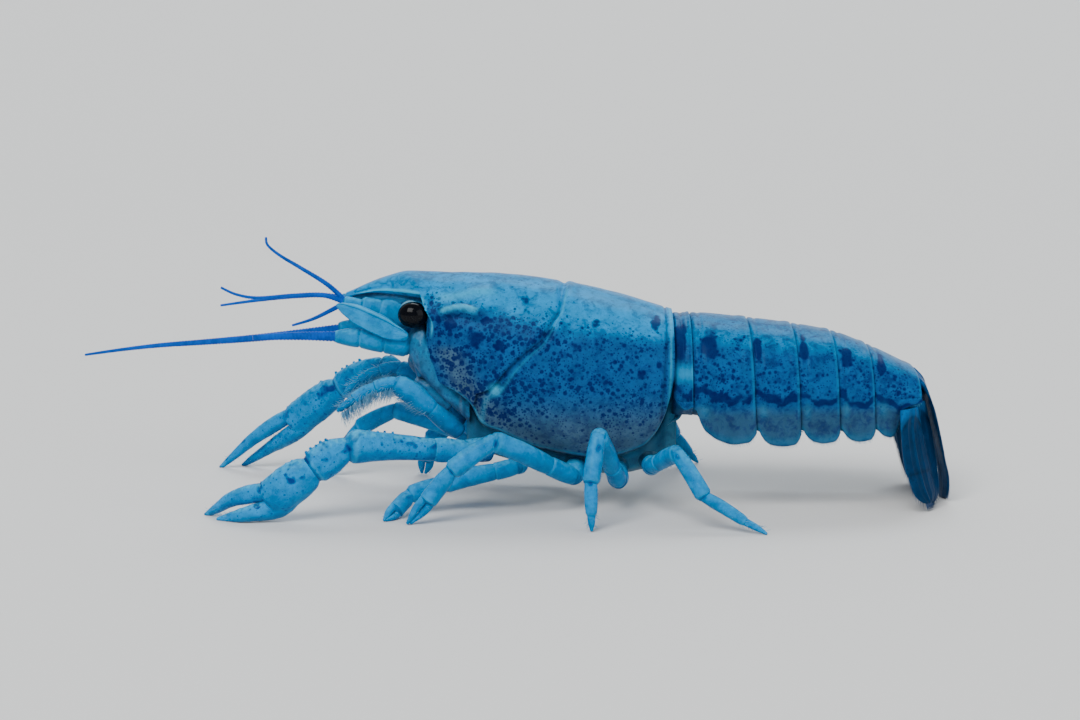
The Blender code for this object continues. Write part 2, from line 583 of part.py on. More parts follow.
def build_tail_segment(number):
    """One ring of the tail with its side lobes and its swimmerets."""
    front, rear, lobe = TAIL_SEGMENTS[number]
    rings = []
    for share_along in (0.0, 0.14, 0.3, 0.5, 0.7, 0.88, 1.0):
        x = front + (rear - front) * share_along
        edge_z = curve(share_along, lobe)
        lift = -OVERLAP_STEP * (1 - smooth(share_along / 0.3)) + 0.08 * smooth((share_along - 0.8) / 0.2)
        half_ring = []
        for step in range(TAIL_STEPS + 1):
            share = step / TAIL_STEPS
            y, z = tail_section(x, share, edge_z)
            y += lift * min(y / 3.0, 1.0)
            z += lift * (1 - smooth(share / 0.6))
            half_ring.append((x + curve(x, TAIL_LEAN) * share, y, z))
        edge_x, edge_y, low_z = half_ring[-1]
        belly = max(curve(x, TAIL_BELLY_Z), low_z + 0.3) if low_z < 11.0 else curve(x, TAIL_BELLY_Z)
        inner = [(edge_x, edge_y - SIDE_LOBE_THICKNESS, low_z + 0.15), (edge_x, edge_y - 2.6, belly),
                 (edge_x, edge_y - 5.0, belly - 0.25)]
        half_ring += inner
        ring = [Vector((px, -py, pz)) for px, py, pz in reversed(half_ring)]
        ring += [Vector(point) for point in half_ring[1:]]
        rings.append(ring)
    segment = make_object(f"tail_{number + 1}", *skin(rings), SHELL)
    if number < len(SWIMMERET_REACH):
        fuse(segment, swimmerets(number, 0.5 * (front + rear)))


def swimmerets(number, x):
    """The pair of two-bladed swimmerets under one segment."""
    pieces = []
    size = 0.6 if number == 0 else 1.0
    root_z = curve(x, TAIL_BELLY_Z) + 0.3
    for side in (-1, 1):
        for spread in (-SWIMMERET_SPREAD, SWIMMERET_SPREAD):
            root = Vector((x, side * (SWIMMERET_Y + spread * 0.6), root_z))
            reach = Vector(SWIMMERET_REACH[number])
            tip = root + Vector((reach.x, side * (reach.y + spread), reach.z))
            middle = root.lerp(tip, 0.4) - Vector((0.0, 0.0, 0.55))
            rings = []
            for centre, wide, thick in ((root, 0.45, 0.4), (middle, SWIMMERET_WIDTH, 0.34),
                                        (middle.lerp(tip, 0.6), SWIMMERET_WIDTH * 0.85, SWIMMERET_THICKNESS),
                                        (tip, 0.3, 0.25)):
                rings.append(ring_at(centre, tip - root, Vector((0.0, 1.0, 0.0)), wide * size, thick, 6))
            pieces.append(make_object("swimmeret", *skin(rings), SHELL))
    return pieces


def build_tail_fan():
    """Middle blade and the two blades on each side, folded down to the floor."""
    across = Vector((0.0, 1.0, 0.0))
    blade = plate(TELSON_LINE, TELSON_WIDTH, across, FAN_THICKNESS, FAN_ROOT_THICKNESS, 0.0,
                  camber=TELSON_CAMBER)
    make_object("telson", *blade, FAN)
    for side, mark in ((-1, "l"), (1, "r")):
        across = Vector((-BLADE_TILT, side, 0.0)).normalized()
        for name, line, widths in (("fan_inner_", INNER_BLADE_LINE, INNER_BLADE_WIDTH),
                                   ("fan_outer_", OUTER_BLADE_LINE, OUTER_BLADE_WIDTH)):
            blade = plate(mirrored(line, side), widths, across, FAN_THICKNESS, FAN_ROOT_THICKNESS, FAN_RIB)
            make_object(name + mark, *blade, FAN)


def build_eyes():
    """Black eye balls, each on a short stalk that flares into a cup."""
    for side, mark in ((-1, "l"), (1, "r")):
        centre = mirrored([EYE_CENTRE], side)[0]
        rings = []
        for offset in (-EYE_CUT, -0.7, -0.2, 0.3, 0.75, 1.1, 1.35, 1.47):
            size = math.sqrt(1 - (offset / EYE_RADII[1]) ** 2)
            place = centre + Vector((0.0, side * offset, 0.0))
            rings.append(ring_at(place, Vector((0.0, side, 0.0)), Vector((1.0, 0.0, 0.0)),
                                 EYE_RADII[0] * size, EYE_RADII[2] * size, 16))
        make_object("eye_" + mark, *skin(rings), EYE)
        root, end = mirrored([EYESTALK_ROOT, EYESTALK_END], side)
        rings = []
        for share, radius in EYESTALK_RADII:
            rings.append(ring_at(root.lerp(end, share), Vector((0.0, side, 0.0)), Vector((1.0, 0.0, 0.0)),
                                 radius * EYESTALK_LENGTH_RATIO, radius, 14))
        make_object("eyestalk_" + mark, *skin(rings), BELLY)


def feeler_rings(points, radii, sides=6):
    """Rings along a feeler's route; a radius may be a pair, wide and tall."""
    rings = []
    for i, (point, radius) in enumerate(zip(points, radii)):
        ahead = points[min(i + 1, len(points) - 1)]
        back = points[max(i - 1, 0)]
        wide, tall = radius if isinstance(radius, tuple) else (radius, radius)
        rings.append(ring_at(point, ahead - back, Vector((0.0, 1.0, 0.2)), wide, tall, sides))
    return rings


def tapered(points, first, last):
    """A radius for each point of a route, from first to last."""
    steps = len(points) - 1
    return [first + (last - first) * i / steps for i in range(len(points))]


def build_small_feelers():
    """The inner feelers: a jointed base under the beak that carries two threads."""
    for side, mark in ((-1, "l"), (1, "r")):
        base = mirrored(SMALL_FEELER_BASE, side)
        rings = feeler_rings(base, SMALL_FEELER_BASE_RADII, 10)
        stem = make_object("small_feeler_" + mark, *skin(rings), FEELER)
        threads = []
        for route in SMALL_FEELERS[mark]:
            points = [Vector(p) for p in route]
            points[0] = points[0] - (points[1] - points[0]) * 0.15
            radii = tapered(points, SMALL_FEELER_RADIUS, SMALL_FEELER_TIP_RADIUS)
            threads.append(make_object("thread", *skin(feeler_rings(points, radii)), FEELER))
        fuse(stem, threads)


def build_feelers():
    """The long outer feelers: thick jointed bases, one whole thread and one short stub."""
    for side, mark in ((-1, "l"), (1, "r")):
        base = mirrored(FEELER_BASE, side)
        make_object("feeler_base_" + mark, *skin(feeler_rings(base, FEELER_BASE_RADII, 12)), CLAW)
    left = [Vector(p) for p in FEELER_LEFT]
    make_object("feeler_l", *skin(feeler_rings(left, FEELER_LEFT_RADII, 8)), FEELER)
    right = [Vector(p) for p in FEELER_RIGHT]
    inner = right[:FEELER_SPLIT + 1]
    make_object("feeler_r_1", *skin(feeler_rings(inner, FEELER_RIGHT_RADII, 8)), FEELER)
    outer = right[FEELER_SPLIT:]
    outer[0] = outer[0] + (outer[1] - outer[0]).normalized() * GAP
    rings = feeler_rings(outer, FEELER_RIGHT_RADII[FEELER_SPLIT:], 8)
    make_object("feeler_r_2", *skin(rings), FEELER)


def build_feeler_scales():
    """The blade beside each outer feeler's base, stiffened by a rib."""
    for side, mark in ((-1, "l"), (1, "r")):
        across = Vector((SCALE_ACROSS[0], SCALE_ACROSS[1] * side, SCALE_ACROSS[2])).normalized()
        blade = plate(mirrored(SCALE_LINE, side), SCALE_WIDTH, across, SCALE_THICKNESS, 0.9, 0.15, (6, 6))
        make_object("feeler_scale_" + mark, *blade, CLAW)


def full_ring(x, half, low, high):
    """A ring across X between an oval and a box."""
    ring = []
    for k in range(MOUTH_SIDES):
        angle = 2 * math.pi * k / MOUTH_SIDES
        across, up = math.cos(angle), math.sin(angle)
        y = half * math.copysign(abs(across) ** MOUTH_FULLNESS, across)
        z = (low + high) / 2 + (high - low) / 2 * math.copysign(abs(up) ** MOUTH_FULLNESS, up)
        ring.append(Vector((x, y, z)))
    return ring


def build_mouth():
    """Mouth block under the cheeks, which carries the feelers' bases."""
    rings = []
    for x in MOUTH_STATIONS:
        half = curve(x, MOUTH_HALF_WIDTH)
        rings.append(full_ring(x, half, curve(x, MOUTH_BOTTOM), curve(x, MOUTH_TOP)))
    make_object("mouth", *skin(rings), BELLY)


def build_underside():
    """Plate between the legs, with a keel that narrows downwards."""
    rings = []
    for x in UNDERSIDE_STATIONS:
        root = curve(x, ROOT_Z)
        high = curve(x, SHIELD_EDGE_Z) + EDGE_RECESS - 0.4
        front, rear = UNDERSIDE_STATIONS[0], UNDERSIDE_STATIONS[-1]
        taper = smooth((x - front) / (UNDERSIDE_TAPER[0] - front))
        taper *= smooth((rear - x) / (rear - UNDERSIDE_TAPER[1]))
        half = UNDERSIDE_END_WIDTH + (UNDERSIDE_HALF_WIDTH - UNDERSIDE_END_WIDTH) * taper
        low = root - UNDERSIDE_DEPTH
        quarter = [(UNDERSIDE_KEEL_WIDTH, low), (half - 0.5, low + 0.15), (half, low + 0.5),
                   (half, high - 0.5), (half - 0.5, high)]
        ring = [Vector((x, y, z)) for y, z in quarter]
        rings.append(ring + [Vector((x, -y, z)) for y, z in reversed(quarter)])
    make_object("underside", *skin(rings), BELLY)


def hair(root, tip, radius):
    """One stout bristle from root to tip."""
    middle = root.lerp(tip, 0.5)
    direction = tip - root
    rings = [ring_at(root, direction, Vector((0.3, 1.0, 0.1)), radius, radius, 3),
             ring_at(middle, direction, Vector((0.3, 1.0, 0.1)), radius * 0.75, radius * 0.75, 3),
             ring_at(tip, direction, Vector((0.3, 1.0, 0.1)), radius * 0.4, radius * 0.4, 3)]
    return make_object("hair", *skin(rings), BELLY)


def build_mouth_legs():
    """The hairy pair of mouth legs, arched up and over ahead of the mouth."""
    for side, mark in ((-1, "l"), (1, "r")):
        joints = mirrored(MOUTH_LEG, side)
        axis = bend_axis(joints)
        normal = joint_normal(joints[1], joints[2], joints[3])
        upper = joints[:2] + [cut_at(joints[2], normal, -1)]
        rings = limb_rings(upper, MOUTH_LEG_UPPER_RADII, axis, LEG_SIDES, None, normal)
        make_object("mouth_leg_upper_" + mark, *skin(rings), LEG)
        lower = [cut_at(joints[2], normal, 1)] + joints[3:]
        rings = limb_rings(lower, MOUTH_LEG_LOWER_RADII, axis, LEG_SIDES, normal)
        limb = make_object("mouth_leg_lower_" + mark, *skin(rings), LEG)
        hairs = []
        for k in range(MOUTH_LEG_HAIRS):
            place = 0.25 + 1.65 * k / (MOUTH_LEG_HAIRS - 1)
            i = min(int(place), 1)
            root = lower[i].lerp(lower[i + 1], place - i)
            down = Vector((0.35, side * 0.1 * (k % 3 - 1), -1.0)).normalized()
            hairs.append(hair(root, root + down * (MOUTH_LEG_HAIR_LENGTH * (1.15 - 0.15 * place)), 0.17))
        fuse(limb, hairs)


def build_claw(mark, arm, wrist, palm_end, finger, thumb, size):
    """Arm, wrist, palm with its fixed finger, and the moving finger of one claw."""
    arm = [Vector(p) for p in arm]
    wrist = Vector(wrist)
    palm_end = Vector(palm_end)
    finger = [Vector(p) for p in finger]
    thumb = [Vector(p) for p in thumb]
    axis = bend_axis([arm[1], arm[2], wrist, palm_end])
    elbow_normal = joint_normal(arm[1], arm[2], wrist)
    wrist_normal = joint_normal(arm[2], wrist, palm_end)
    outward = Vector((0.0, -1.0 if mark == "l" else 1.0, 0.0))

    def scaled(radii):
        return [(place, wide * size, tall * size) for place, wide, tall in radii]

    joints = arm[:2] + [cut_at(arm[2], elbow_normal, -1)]
    radii = scaled(ARM_START_RADII + ARM_RADII)
    rings = limb_rings(joints, radii, axis, CLAW_SIDES, outward, elbow_normal)
    make_object("claw_arm_" + mark, *skin(rings), CLAW)

    joints = [cut_at(arm[2], elbow_normal, 1), cut_at(wrist, wrist_normal, -1)]
    rings = limb_rings(joints, scaled(WRIST_RADII), axis, CLAW_SIDES, elbow_normal, wrist_normal)
    make_object("claw_wrist_" + mark, *skin(rings), CLAW)

    joints = [cut_at(wrist, wrist_normal, 1), palm_end]
    rings = limb_rings(joints, scaled(PALM_RADII), axis, CLAW_SIDES, wrist_normal)
    palm = make_object("claw_palm_" + mark, *skin(rings), CLAW)
    ahead = (palm_end - wrist).normalized()
    rise = axis.cross(ahead).normalized()
    rise *= math.copysign(1.0, rise.z)
    thumb_root = palm_end - ahead * THUMB_ROOT_DEPTH - rise * (THUMB_ROOT_DROP * size)
    rings = finger_rings(thumb_root, thumb, ahead, axis, THUMB_SIZE * size)
    fuse(palm, [make_object("thumb", *skin(rings), CLAW)])
    finger_root = palm_end + ahead * GAP + rise * (FINGER_ROOT_RISE * size)
    rings = finger_rings(finger_root, finger, ahead, axis, size)
    make_object("claw_finger_" + mark, *skin(rings), CLAW)


def finger_rings(root, points, ahead, axis, size):
    """Rings of a curved finger from its root to a small flat on the floor."""
    middle, tip = points
    stations = ((root, ahead, 0.95), (root.lerp(middle, 0.35), middle - root, 1.05),
                (middle, tip - root, 0.88), (middle.lerp(tip, 0.55), tip - middle, 0.58))
    rings = [ring_at(centre, normal, axis, radius * size, radius * size, 10)
             for centre, normal, radius in stations]
    rings.append(ring_at(tip, Vector((0.0, 0.0, -1.0)), axis, FOOT_RADIUS, FOOT_RADIUS, 10))
    return rings


def build_leg(name, joints):
    """One walking leg in two lengths, standing on a small flat."""
    joints = [Vector(p) for p in joints]
    size = LEG_SIZE[name[:4]]
    axis = bend_axis(joints[1:])
    knee_normal = joint_normal(joints[1], joints[2], joints[3])
    outward = Vector((0.0, math.copysign(1.0, joints[0].y), 0.0))
    upper = joints[:2] + [cut_at(joints[2], knee_normal, -1)]
    radii = [(place, radius * size) for place, radius in LEG_UPPER_RADII]
    rings = limb_rings(upper, radii, axis, LEG_SIDES, outward, knee_normal)
    make_object(name[:4] + "_upper" + name[4:], *skin(rings), LEG)
    lower = [cut_at(joints[2], knee_normal, 1)] + joints[3:]
    floor_normal = Vector((0.0, 0.0, -1.0))
    if name[:4] not in PINCER_LEGS:
        radii = [(place, radius * size) for place, radius in LEG_LOWER_RADII]
        rings = limb_rings(lower, radii, axis, LEG_SIDES, knee_normal, floor_normal)
        make_object(name[:4] + "_lower" + name[4:], *skin(rings), LEG)
        return
    radii = [(place, radius * size) for place, radius in PINCER_LEG_RADII]
    rings = limb_rings(lower, radii, axis, LEG_SIDES, knee_normal)
    limb = make_object(name[:4] + "_lower" + name[4:], *skin(rings), LEG)
    start = lower[1].lerp(lower[2], PINCER_START - 1)
    ahead = lower[2] - start
    spread = axis.cross(ahead).normalized() * PINCER_SPREAD
    flat_spread = Vector((spread.x, spread.y, 0.0)).normalized() * PINCER_SPREAD
    fingers = []
    for way in (-1, 1):
        middle = start.lerp(lower[2], 0.55) + spread * way
        rings = [ring_at(start + spread * way, ahead, axis, PINCER_RADIUS, PINCER_RADIUS, 8),
                 ring_at(middle, ahead, axis, PINCER_RADIUS * 0.8, PINCER_RADIUS * 0.8, 8),
                 ring_at(lower[2] + flat_spread * way, floor_normal, axis, FOOT_RADIUS, FOOT_RADIUS, 8)]
        fingers.append(make_object("pincer", *skin(rings), LEG))
    fuse(limb, fingers)


for old_object in list(bpy.data.objects):
    bpy.data.objects.remove(old_object)

root_empty = bpy.data.objects.new(ROOT_NAME, None)
bpy.context.scene.collection.objects.link(root_empty)
middle_x = (FEELER_TIP_X + TAIL_REAR_X) / 2
middle_y = (LEFT_REACH_Y + RIGHT_REACH_Y) / 2
root_empty.location = Vector((-middle_x, -middle_y, 0.0)) * MM

build_shield()
build_underside()
build_mouth()
for segment_number in range(len(TAIL_SEGMENTS)):
    build_tail_segment(segment_number)
build_tail_fan()
build_eyes()
build_small_feelers()
build_feelers()
build_feeler_scales()
build_mouth_legs()
build_claw("l", ARM_LEFT, WRIST_LEFT, PALM_END_LEFT, FINGER_LEFT, THUMB_LEFT, 1.0)
build_claw("r", ARM_RIGHT, WRIST_RIGHT, PALM_END_RIGHT, FINGER_RIGHT, THUMB_RIGHT, CLAW_SCALE_RIGHT)
for leg_name, leg_joints in LEGS.items():
    build_leg(leg_name, leg_joints)
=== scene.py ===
"""A blue crayfish as a still, life-size model, standing with its claws let down to the floor.

The head points along -X, the tail along +X and the left side along -Y.
Sizes are millimetres on the animal: X from a place near the middle of the shield,
Y from the mid-plane, Z from the floor. placed() turns them into metres in the
part's frame.
"""
import math

import bmesh
import bpy
import numpy as np
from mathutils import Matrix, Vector, noise


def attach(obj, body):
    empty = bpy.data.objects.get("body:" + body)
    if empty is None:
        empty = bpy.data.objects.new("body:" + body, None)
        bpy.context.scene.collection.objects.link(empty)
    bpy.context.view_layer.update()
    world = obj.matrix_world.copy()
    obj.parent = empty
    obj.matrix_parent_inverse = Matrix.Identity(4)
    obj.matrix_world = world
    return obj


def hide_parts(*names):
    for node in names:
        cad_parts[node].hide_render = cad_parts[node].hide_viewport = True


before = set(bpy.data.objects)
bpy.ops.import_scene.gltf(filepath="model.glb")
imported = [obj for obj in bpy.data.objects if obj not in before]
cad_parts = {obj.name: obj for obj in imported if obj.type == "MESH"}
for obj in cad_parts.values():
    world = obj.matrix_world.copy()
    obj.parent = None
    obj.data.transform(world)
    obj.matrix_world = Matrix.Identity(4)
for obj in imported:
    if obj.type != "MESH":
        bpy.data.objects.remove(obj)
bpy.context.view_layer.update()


# Shield: the one thick plate over head and chest, drawn out ahead into the beak.
# It is hard glossy shell, cast in one piece, with raised rims, a groove across
# the neck, fine pits and navy speckles. Its lower edge hangs free over the legs.
MM = 0.001
FRAME_SHIFT = np.array((3.875, 0.05, 0.0))
SHIELD_TOP = ((-23.5, 25.5), (-21.8, 26.2), (-20.0, 27.0), (-18.2, 27.6), (-15.8, 28.1),
              (-12.1, 28.0), (-4.8, 27.8), (2.4, 26.9), (9.7, 25.3), (14.6, 23.8), (16.0, 23.4))
SHIELD_HALF_WIDTH = ((-23.5, 0.35), (-22.6, 0.7), (-21.8, 1.2), (-20.6, 1.35), (-18.6, 2.1),
                     (-16.6, 2.95), (-14.8, 3.65), (-13.5, 4.3), (-12.9, 6.3), (-9.0, 7.4),
                     (-5.0, 8.3), (0.0, 9.2), (6.0, 9.75), (11.0, 9.5), (14.0, 9.0), (16.0, 8.6))
SHIELD_WIDEST_Z = ((-23.5, 25.0), (-21.8, 25.5), (-18.6, 25.95), (-14.8, 25.8), (-13.5, 25.6),
                   (-12.9, 21.5), (-9.0, 19.4), (-5.0, 17.5), (0.0, 16.0), (6.0, 15.3),
                   (14.0, 15.6), (15.5, 16.4), (16.0, 18.0))
SHIELD_EDGE_Z = ((-23.5, 24.9), (-21.8, 25.3), (-20.0, 25.6), (-16.0, 25.4), (-13.5, 25.1),
                 (-12.9, 16.9), (-12.4, 16.2), (-9.5, 14.0), (-8.3, 12.9), (-7.2, 10.9),
                 (-4.8, 9.7), (0.0, 7.6), (7.2, 6.4), (11.9, 7.6), (14.3, 10.3), (15.5, 14.0),
                 (16.0, 16.5))
SHIELD_EDGE_Y = ((-23.5, 0.3), (-18.6, 1.5), (-14.8, 2.9), (-13.5, 3.4), (-12.9, 5.5),
                 (-9.0, 6.6), (-5.0, 6.9), (6.0, 6.4), (11.0, 6.6), (14.0, 7.4), (16.0, 8.3))
UPPER_SHARE = 0.58
LOWER_ARC = math.radians(70)
GROOVE_X = 3.0
GROOVE_RUN = ((0.0, 0.0), (0.25, -0.8), (0.33, -1.8), (0.41, -2.9), (0.48, -4.8),
              (0.58, -7.0), (0.69, -8.5), (0.8, -10.5), (1.0, -10.9))
ORBIT_X = -12.9
ORBIT_ARCH = 1.2
CHEEK_LEAD = 0.8
BEAK_RIM = 0.565
SHOULDER_SPAN = (-2.0, -1.5, -1.0, -0.5, 0.0, 0.5, 1.0, 1.5, 2.0)
BEAK_TIP_X = -23.5
SHIELD_REAR_X = 16.0
SHIELD_SPANS = ((BEAK_TIP_X, -13.5, 0.25), (-13.5, -12.1, 0.08), (-12.1, 1.6, 0.26), (1.6, 4.6, 0.12),
                (4.6, 14.0, 0.3), (14.0, SHIELD_REAR_X + 0.01, 0.08))
CHEEK_FRONT_X = -12.4
BEAK_ROOT_X = -13.2
REAR_GROOVE_X = 15.2
REAR_RIM_X = 15.7
SHIELD_SPOTS = ((-10.7, 22.7, 1.0), (-7.7, 21.0, 1.5), (-4.9, 20.3, 0.9), (-6.5, 23.1, 0.7),
                (-9.3, 18.8, 0.9), (-1.8, 25.4, 0.8), (13.9, 22.5, 1.0), (14.2, 18.0, 0.6),
                (6.7, 22.8, 0.6), (4.4, 20.2, 0.75), (1.2, 21.6, 0.6), (6.7, 18.8, 0.5),
                (12.0, 16.9, 0.8), (-3.9, 23.2, 0.6))
BRIGHT_CHEEK_DOT = (-5.4, 15.0)
SHIELD_COLUMNS = 57
HOLLOW_COLUMNS = 5


def along(place, points):
    """Smooth values at the places of a line through a few (place, value) points."""
    xs, ys = (np.array(column, float) for column in zip(*points))
    slopes = np.diff(ys) / np.diff(xs)
    tangents = np.zeros(len(xs))
    tangents[0], tangents[-1] = slopes[0], slopes[-1]
    turning = slopes[:-1] * slopes[1:] <= 0
    total = np.where(turning, 1.0, slopes[:-1] + slopes[1:])
    tangents[1:-1] = np.where(turning, 0.0, 2 * slopes[:-1] * slopes[1:] / total)
    place = np.clip(np.asarray(place, float), xs[0], xs[-1])
    i = np.clip(np.searchsorted(xs, place, "right") - 1, 0, len(xs) - 2)
    width = xs[i + 1] - xs[i]
    t = (place - xs[i]) / width
    return ((1 + 2 * t) * (1 - t) ** 2 * ys[i] + t * (1 - t) ** 2 * width * tangents[i]
            + t * t * (3 - 2 * t) * ys[i + 1] + t * t * (t - 1) * width * tangents[i + 1])


def ease(x):
    """From 0 to 1 as x runs from 0 to 1."""
    x = np.clip(x, 0.0, 1.0)
    return x * x * (3 - 2 * x)


def hump(x, width):
    """1 at x = 0, falling away over the width."""
    return np.exp(-(x / width) ** 2)


def between(x, low, high, fade):
    """1 between low and high, easing to 0 at both ends."""
    return ease((x - low) / fade) * ease((high - x) / fade)


def placed(points):
    """Points on the animal, in the part's frame."""
    return (np.asarray(points, float).reshape(-1, 3) + FRAME_SHIFT) * MM


def new_piece(name, points, edges=(), faces=()):
    """An object from points in metres."""
    mesh = bpy.data.meshes.new(name)
    mesh.from_pydata(points, edges, faces)
    piece = bpy.data.objects.new(name, mesh)
    bpy.context.scene.collection.objects.link(piece)
    return piece


def set_marks(piece, marks):
    """Keep the colour patterns, painted highlights and painted shade that the finishes read on a piece's
    points.
    """
    for kind in ("back", "under", "speckle", "blotch", "light", "dark"):
        values = np.zeros(len(piece.data.vertices)) + np.ravel(marks.get(kind, 0.0))
        layer = piece.data.attributes.new(kind, "FLOAT", "POINT")
        layer.data.foreach_set("value", np.clip(values, 0.0, 1.0).astype(np.float32))


def shell_mesh(name, lofts, marks=None, sharp=60):
    """Closed lofts, each a run of rings, as one shell in place with nothing under the floor."""
    faces = []
    first = 0
    for loft in lofts:
        ids = first + np.arange(loft.shape[0] * loft.shape[1]).reshape(loft.shape[:2])
        ahead = np.roll(ids, -1, axis=1)
        faces += np.stack((ids[:-1], ahead[:-1], ahead[1:], ids[1:]), -1).reshape(-1, 4).tolist()
        faces += [ids[0, ::-1].tolist(), ids[-1].tolist()]
        first += ids.size
    points = np.concatenate([loft.reshape(-1, 3) for loft in lofts])
    points[:, 2] = np.maximum(points[:, 2], 0.0)
    piece = new_piece(name, placed(points).tolist(), faces=faces)
    work = bmesh.new()
    work.from_mesh(piece.data)
    bmesh.ops.recalc_face_normals(work, faces=work.faces)
    work.to_mesh(piece.data)
    work.free()
    piece.data.shade_smooth()
    piece.data.set_sharp_from_angle(angle=math.radians(sharp))
    if marks:
        set_marks(piece, marks)
    return piece


def fitted(piece, material, slot, *nodes):
    """Give a piece its finish and put it in the place of its plain solids."""
    piece.data.materials.clear()
    piece.data.materials.append(material)
    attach(piece, "root")
    if nodes:
        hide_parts(*nodes)


def lumps_at(points, grain, shift=(0.0, 0.0, 0.0)):
    """Soft random values from -1 to 1 at points; the grain is how many lumps fit a millimetre."""
    points = np.asarray(points)
    values = [noise.noise(Vector(p) * grain + Vector(shift)) for p in points.reshape(-1, 3)]
    return np.array(values).reshape(points.shape[:-1])


def wired(tree, node, inputs):
    """Give a node's inputs values or other nodes' outputs."""
    for label, value in inputs.items():
        if isinstance(value, bpy.types.NodeSocket):
            tree.links.new(value, node.inputs[label])
        else:
            node.inputs[label].default_value = value
    return node


def added(tree, kind, inputs=None, **settings):
    """A new node of a tree with its settings and inputs."""
    node = tree.nodes.new(kind)
    for key, value in settings.items():
        setattr(node, key, value)
    return wired(tree, node, inputs or {})


def reckoned(tree, operation, *values):
    """What a math node makes of numbers and other nodes' outputs."""
    return added(tree, "ShaderNodeMath", dict(enumerate(values)), operation=operation).outputs[0]


def new_finish(name):
    """A new material with its node tree and shader."""
    material = bpy.data.materials.new(name)
    material.use_nodes = True
    return material, material.node_tree, material.node_tree.nodes["Principled BSDF"]


MIX_SHARE, MIX_FIRST, MIX_SECOND = 0, 6, 7
MIX_RESULT = 2


def shell_finish(name, back, flank, under, spot, light, speckle=0.5, speckle_size=1.0,
                 roughness=0.34, pits=0.5, coat=0.02, marble=0.3, soft=0.14):
    """Glossy shell: three ground colours, navy speckles and blotches, painted highlights on the rims,
    darker marks (painted shade on the plates, dark joints on the limbs), fine pits.
    """
    material, tree, shader = new_finish(name)
    where = added(tree, "ShaderNodeTexCoord").outputs["Object"]

    def texture(kind, output, scale, **more):
        inputs = {"Vector": where, "Scale": scale, **more}
        return added(tree, "ShaderNodeTex" + kind, inputs).outputs[output]

    def reckon(operation, *values):
        return reckoned(tree, operation, *values)

    def step(value, low, high):
        return added(tree, "ShaderNodeMapRange", {"Value": value, "From Min": low, "From Max": high},
                     interpolation_type="SMOOTHSTEP").outputs[0]

    def blend(share, first, second, kind="MIX"):
        first, second = ((*value, 1.0) if isinstance(value, tuple) else value for value in (first, second))
        node = added(tree, "ShaderNodeMix", data_type="RGBA", blend_type=kind)
        wired(tree, node, {MIX_SHARE: share, MIX_FIRST: first, MIX_SECOND: second})
        return node.outputs[MIX_RESULT]

    def mark(kind):
        return added(tree, "ShaderNodeAttribute", attribute_name=kind).outputs["Fac"]

    cloud = texture("Noise", "Fac", 420, Detail=5.0, Roughness=0.6)
    grain = texture("Noise", "Fac", 2600, Detail=3.0)
    drift = texture("Noise", "Fac", 140, Detail=2.0)
    veins = texture("Noise", "Fac", 780, Detail=4.0, Roughness=0.7, Distortion=0.6)
    big_spots = texture("Voronoi", "Distance", 1300 / speckle_size)
    small_spots = texture("Voronoi", "Distance", 2900 / speckle_size)
    pores = texture("Voronoi", "Distance", 3200, Randomness=0.9)
    off = reckon("SUBTRACT", cloud, 0.5)

    # The ground runs from flank to back and underside, marbled and shaded by the clouds.
    colour = blend(step(reckon("MULTIPLY_ADD", off, 0.7, mark("back")), 0.1, 0.9), flank, back)
    colour = blend(step(reckon("MULTIPLY_ADD", off, 0.35, mark("under")), 0.05, 0.95), colour, under)
    marbling = step(reckon("MULTIPLY_ADD", grain, 0.4, veins), 0.62, 0.86)
    colour = blend(reckon("MULTIPLY", marbling, marble), colour, spot)
    shadow = reckon("MULTIPLY_ADD", grain, 0.55, reckon("MULTIPLY_ADD", cloud, 0.75, 0.36))
    shade = added(tree, "ShaderNodeCombineColor", {0: shadow, 1: shadow, 2: shadow})
    colour = blend(1.0, colour, shade.outputs[0], "MULTIPLY")

    # Speckles grow and thin out with the clouds; blotches, the dark mark and the painted highlights lie
    # over them.
    reach = reckon("MULTIPLY", mark("speckle"), reckon("MULTIPLY_ADD", drift, 0.85, 0.05))
    reach = reckon("MULTIPLY", reach, reckon("MULTIPLY_ADD", cloud, 1.0, 0.45))
    for field, size in ((big_spots, 0.9), (small_spots, 0.8)):
        inside = step(reckon("SUBTRACT", reckon("MULTIPLY", reach, size), field), -0.09, 0.12)
        colour = blend(reckon("MULTIPLY", inside, speckle), colour, spot)
    uneven = reckon("MULTIPLY_ADD", off, 1.1, mark("blotch"))
    patch = reckon("MULTIPLY_ADD", reckon("SUBTRACT", big_spots, 0.4), -0.35, uneven)
    colour = blend(reckon("MULTIPLY", step(patch, 0.5 - soft, 0.5 + soft), 0.88), colour, spot)
    # The dark mark in deeper navy: painted shade in grooves and creases, and dark joints and seams.
    colour = blend(reckon("MULTIPLY", mark("dark"), 0.8), colour, tuple(0.45 * c for c in spot))
    # Painted highlights, stronger and weaker with the clouds.
    shine = reckon("MULTIPLY_ADD", cloud, 0.6, 0.5)
    colour = blend(reckon("MULTIPLY", mark("light"), shine), colour, light)

    gloss = reckon("MULTIPLY_ADD", cloud, 0.22, reckon("MULTIPLY_ADD", grain, 0.12, roughness - 0.17))
    height = reckon("MULTIPLY_ADD", step(pores, 0.0, 0.35), pits, reckon("MULTIPLY", grain, 0.5))
    bump = added(tree, "ShaderNodeBump", {"Strength": 0.5, "Distance": 0.00006, "Height": height})
    wired(tree, shader, {
        "Base Color": colour, "Roughness": gloss, "Normal": bump.outputs["Normal"],
        "Specular IOR Level": 0.07, "Specular Tint": (0.22, 0.68, 1.0, 1.0),
        "Coat Weight": coat, "Coat Roughness": 0.13,
        "Subsurface Weight": 0.08, "Subsurface Radius": (0.0006, 0.0009, 0.0012)})
    return material


